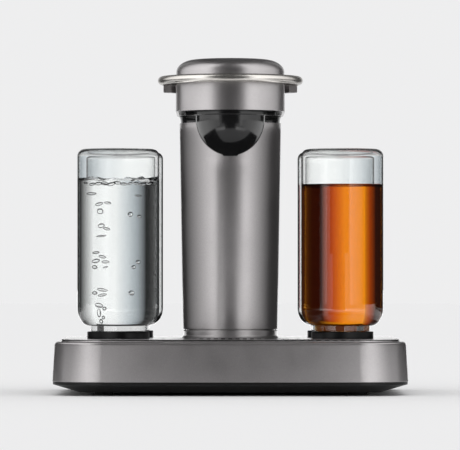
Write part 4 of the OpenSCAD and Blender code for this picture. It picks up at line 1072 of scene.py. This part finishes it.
# The rising air, in millimetres: across from the bottle's middle, up, half its width and half its height.
mm = 0.001
rising_air = [
    (-24, 194, 5.4, 1.5), (-12, 203, 3.6, 0.9), (-17, 184, 4.0, 1.6), (-9, 185, 3.4, 1.3),
    (-16, 177, 3.2, 2.8), (-15, 163, 3.4, 2.2), (-10, 160, 3.4, 1.4), (-15, 153, 5.0, 1.0),
    (-20, 137, 3.8, 1.3), (-14, 133, 3.6, 1.5), (-20, 129, 4.2, 2.0), (-11, 128, 3.8, 1.5),
    (-21, 123, 2.8, 1.9), (-11, 123, 2.6, 0.9), (-14, 101, 5.2, 1.6), (-21, 98, 2.8, 1.7),
    (-14, 96, 4.4, 1.4), (-17, 86, 4.2, 2.2), (-12, 83, 2.0, 1.8), (-17, 79, 2.0, 4.0),
    (-13, 75, 1.6, 1.6), (-15, 72, 1.8, 2.2), (19, 192, 3.6, 1.1), (20, 172, 2.2, 1.6),
    (12, 174, 2.6, 2.4), (19, 128, 2.4, 2.0), (15, 123, 2.2, 1.9), (13, 98, 2.8, 2.4),
]
froth_count = 11
froth_z = clear_level / mm - 4.4
for k in range(froth_count):
    wide = 2.6 + 1.6 * abs(math.sin(k * 2.7))
    rising_air.append((-29 + 5.8 * k, froth_z - 1.4 * abs(math.sin(k * 1.9)), wide, 0.45 * wide))
glass_gap = 0.0045
bubble_depth = 0.0014
for k, (across, height, half_w, half_h) in enumerate(rising_air):
    drop = min(max((shoulder_z - height * mm) / (shoulder_h - glass_t), 0), 1)
    near_glass = mouth_bore + (inner_r - mouth_bore) * math.sqrt(1 - drop ** 2) - glass_gap
    back = math.sqrt(near_glass ** 2 - (across * mm) ** 2)
    bpy.ops.object.select_all(action="DESELECT")
    bpy.ops.mesh.primitive_ico_sphere_add(subdivisions=4, radius=1)
    bubble = bpy.context.object
    bubble.scale = (half_w * mm, bubble_depth, half_h * mm)
    bubble.rotation_euler = (0, 0.22 * math.sin(k * 2.3), 0.6 * math.atan2(across * mm, back))
    bubble.location = (bottle_x + across * mm, bottle_y - back, height * mm)
    bpy.ops.object.transform_apply(location=True, rotation=True, scale=True)
    bpy.ops.object.shade_smooth()
    pick(bubble, "FACE", lambda face: True)
    bpy.ops.mesh.flip_normals()
    bpy.ops.object.mode_set(mode="OBJECT")
    joined(clear, bubble)
fit(clear, "front_left_bottle", "clear_spirit", clear_spirit, "spirit_front_left")

amber_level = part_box("spirit_front_right")[1].z
# The amber spirit's painted shade is near black over its top few millimetres.
amber_spirit = spirit_finish("amber_spirit", 1.36, amber_level, 0.0024, (0.05, 0.02, 0.01))
amber_tree = amber_spirit.node_tree
amber_colour = {"Color": (0.99, 0.78, 0.12, 1), "Density": 80.0}
amber_depth = add_node(amber_tree, "VolumeAbsorption", amber_colour)
feed(amber_tree, amber_tree.nodes["Material Output"], {"Volume": amber_depth.outputs[0]})
right_x, right_y = middle("bottle_front_right")[:2]
amber = turned("amber_spirit_fill", spirit_outline(amber_level), right_x, right_y, 160)
fit(amber, "front_right_bottle", "amber_spirit", amber_spirit, "spirit_front_right")

# Water tank: a smoky clear moulding that hugs the back of the column, with a black valve and a lift-off lid.
# Clear plastic with a grey tint and a polished surface.
smoky_tint = (0.36, 0.37, 0.385, 1)
smoky_look = {"Base Color": smoky_tint, "Roughness": 0.04, "IOR": 1.49, "Transmission Weight": 1.0}
smoky = new_finish("smoky_plastic", smoky_look)
set_shader(smoky, {"Normal": ripple(smoky.node_tree, 70.0, 0.08, 0.0003)})
tank_low, tank_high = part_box("water_tank")
cap_low, cap_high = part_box("tank_lid")
tank_corner = 0.01
tank_wall = 0.0022
tank_floor = 0.003
valve_bore_r = 0.0077
hug_r = head_r + 0.0023


def tank_form(name, inset, low, high):
    """Add an upright block with the tank's plan, hollowed in front to hug the column."""
    front = column_y + hug_r / 2
    form_low = (tank_low.x + inset, front, low)
    form_high = (tank_high.x - inset, tank_high.y - inset, high)
    form = slab(name, form_low, form_high, tank_corner - inset, 10)
    cut_out(form, rod(0, column_y, (low + high) / 2, hug_r + inset, 2 * (high - low), sides=160))
    return form


tank = tank_form("water_tank_wall", 0, tank_low.z, tank_high.z)
cut_out(tank, tank_form("tank_hollow", tank_wall, tank_low.z + tank_floor, tank_high.z + overcut))
cut_out(tank, rod(0, valve_y, tank_low.z, valve_bore_r, 2 * overcut))
ease_edges(tank, 0.0005, 3)
fit(tank, "tank", "smoky_plastic", smoky, "water_tank")
skirt_inset = tank_wall + 0.0002
skirt_wall = 0.002
tank_cap = tank_form("tank_lid_plate", 0, tank_high.z, cap_high.z)
grip_r = 0.003
cut_out(tank_cap, rod(0, tank_high.y, cap_high.z, grip_r, 8 * grip_r, (math.pi / 2, 0, 0), 48))
ease_edges(tank_cap, 0.0012, 4)
skirt = tank_form("tank_lid_skirt", skirt_inset, cap_low.z, tank_high.z)
cut_out(skirt, tank_form("skirt_hollow", skirt_inset + skirt_wall, cap_low.z - overcut, tank_high.z + 0.001))
ease_edges(skirt, 0.0003, 2)
joined(tank_cap, skirt)
fit(tank_cap, "tank_cover", "satin_black", satin_black, "tank_lid")
dress(satin_black, "tank_valve")
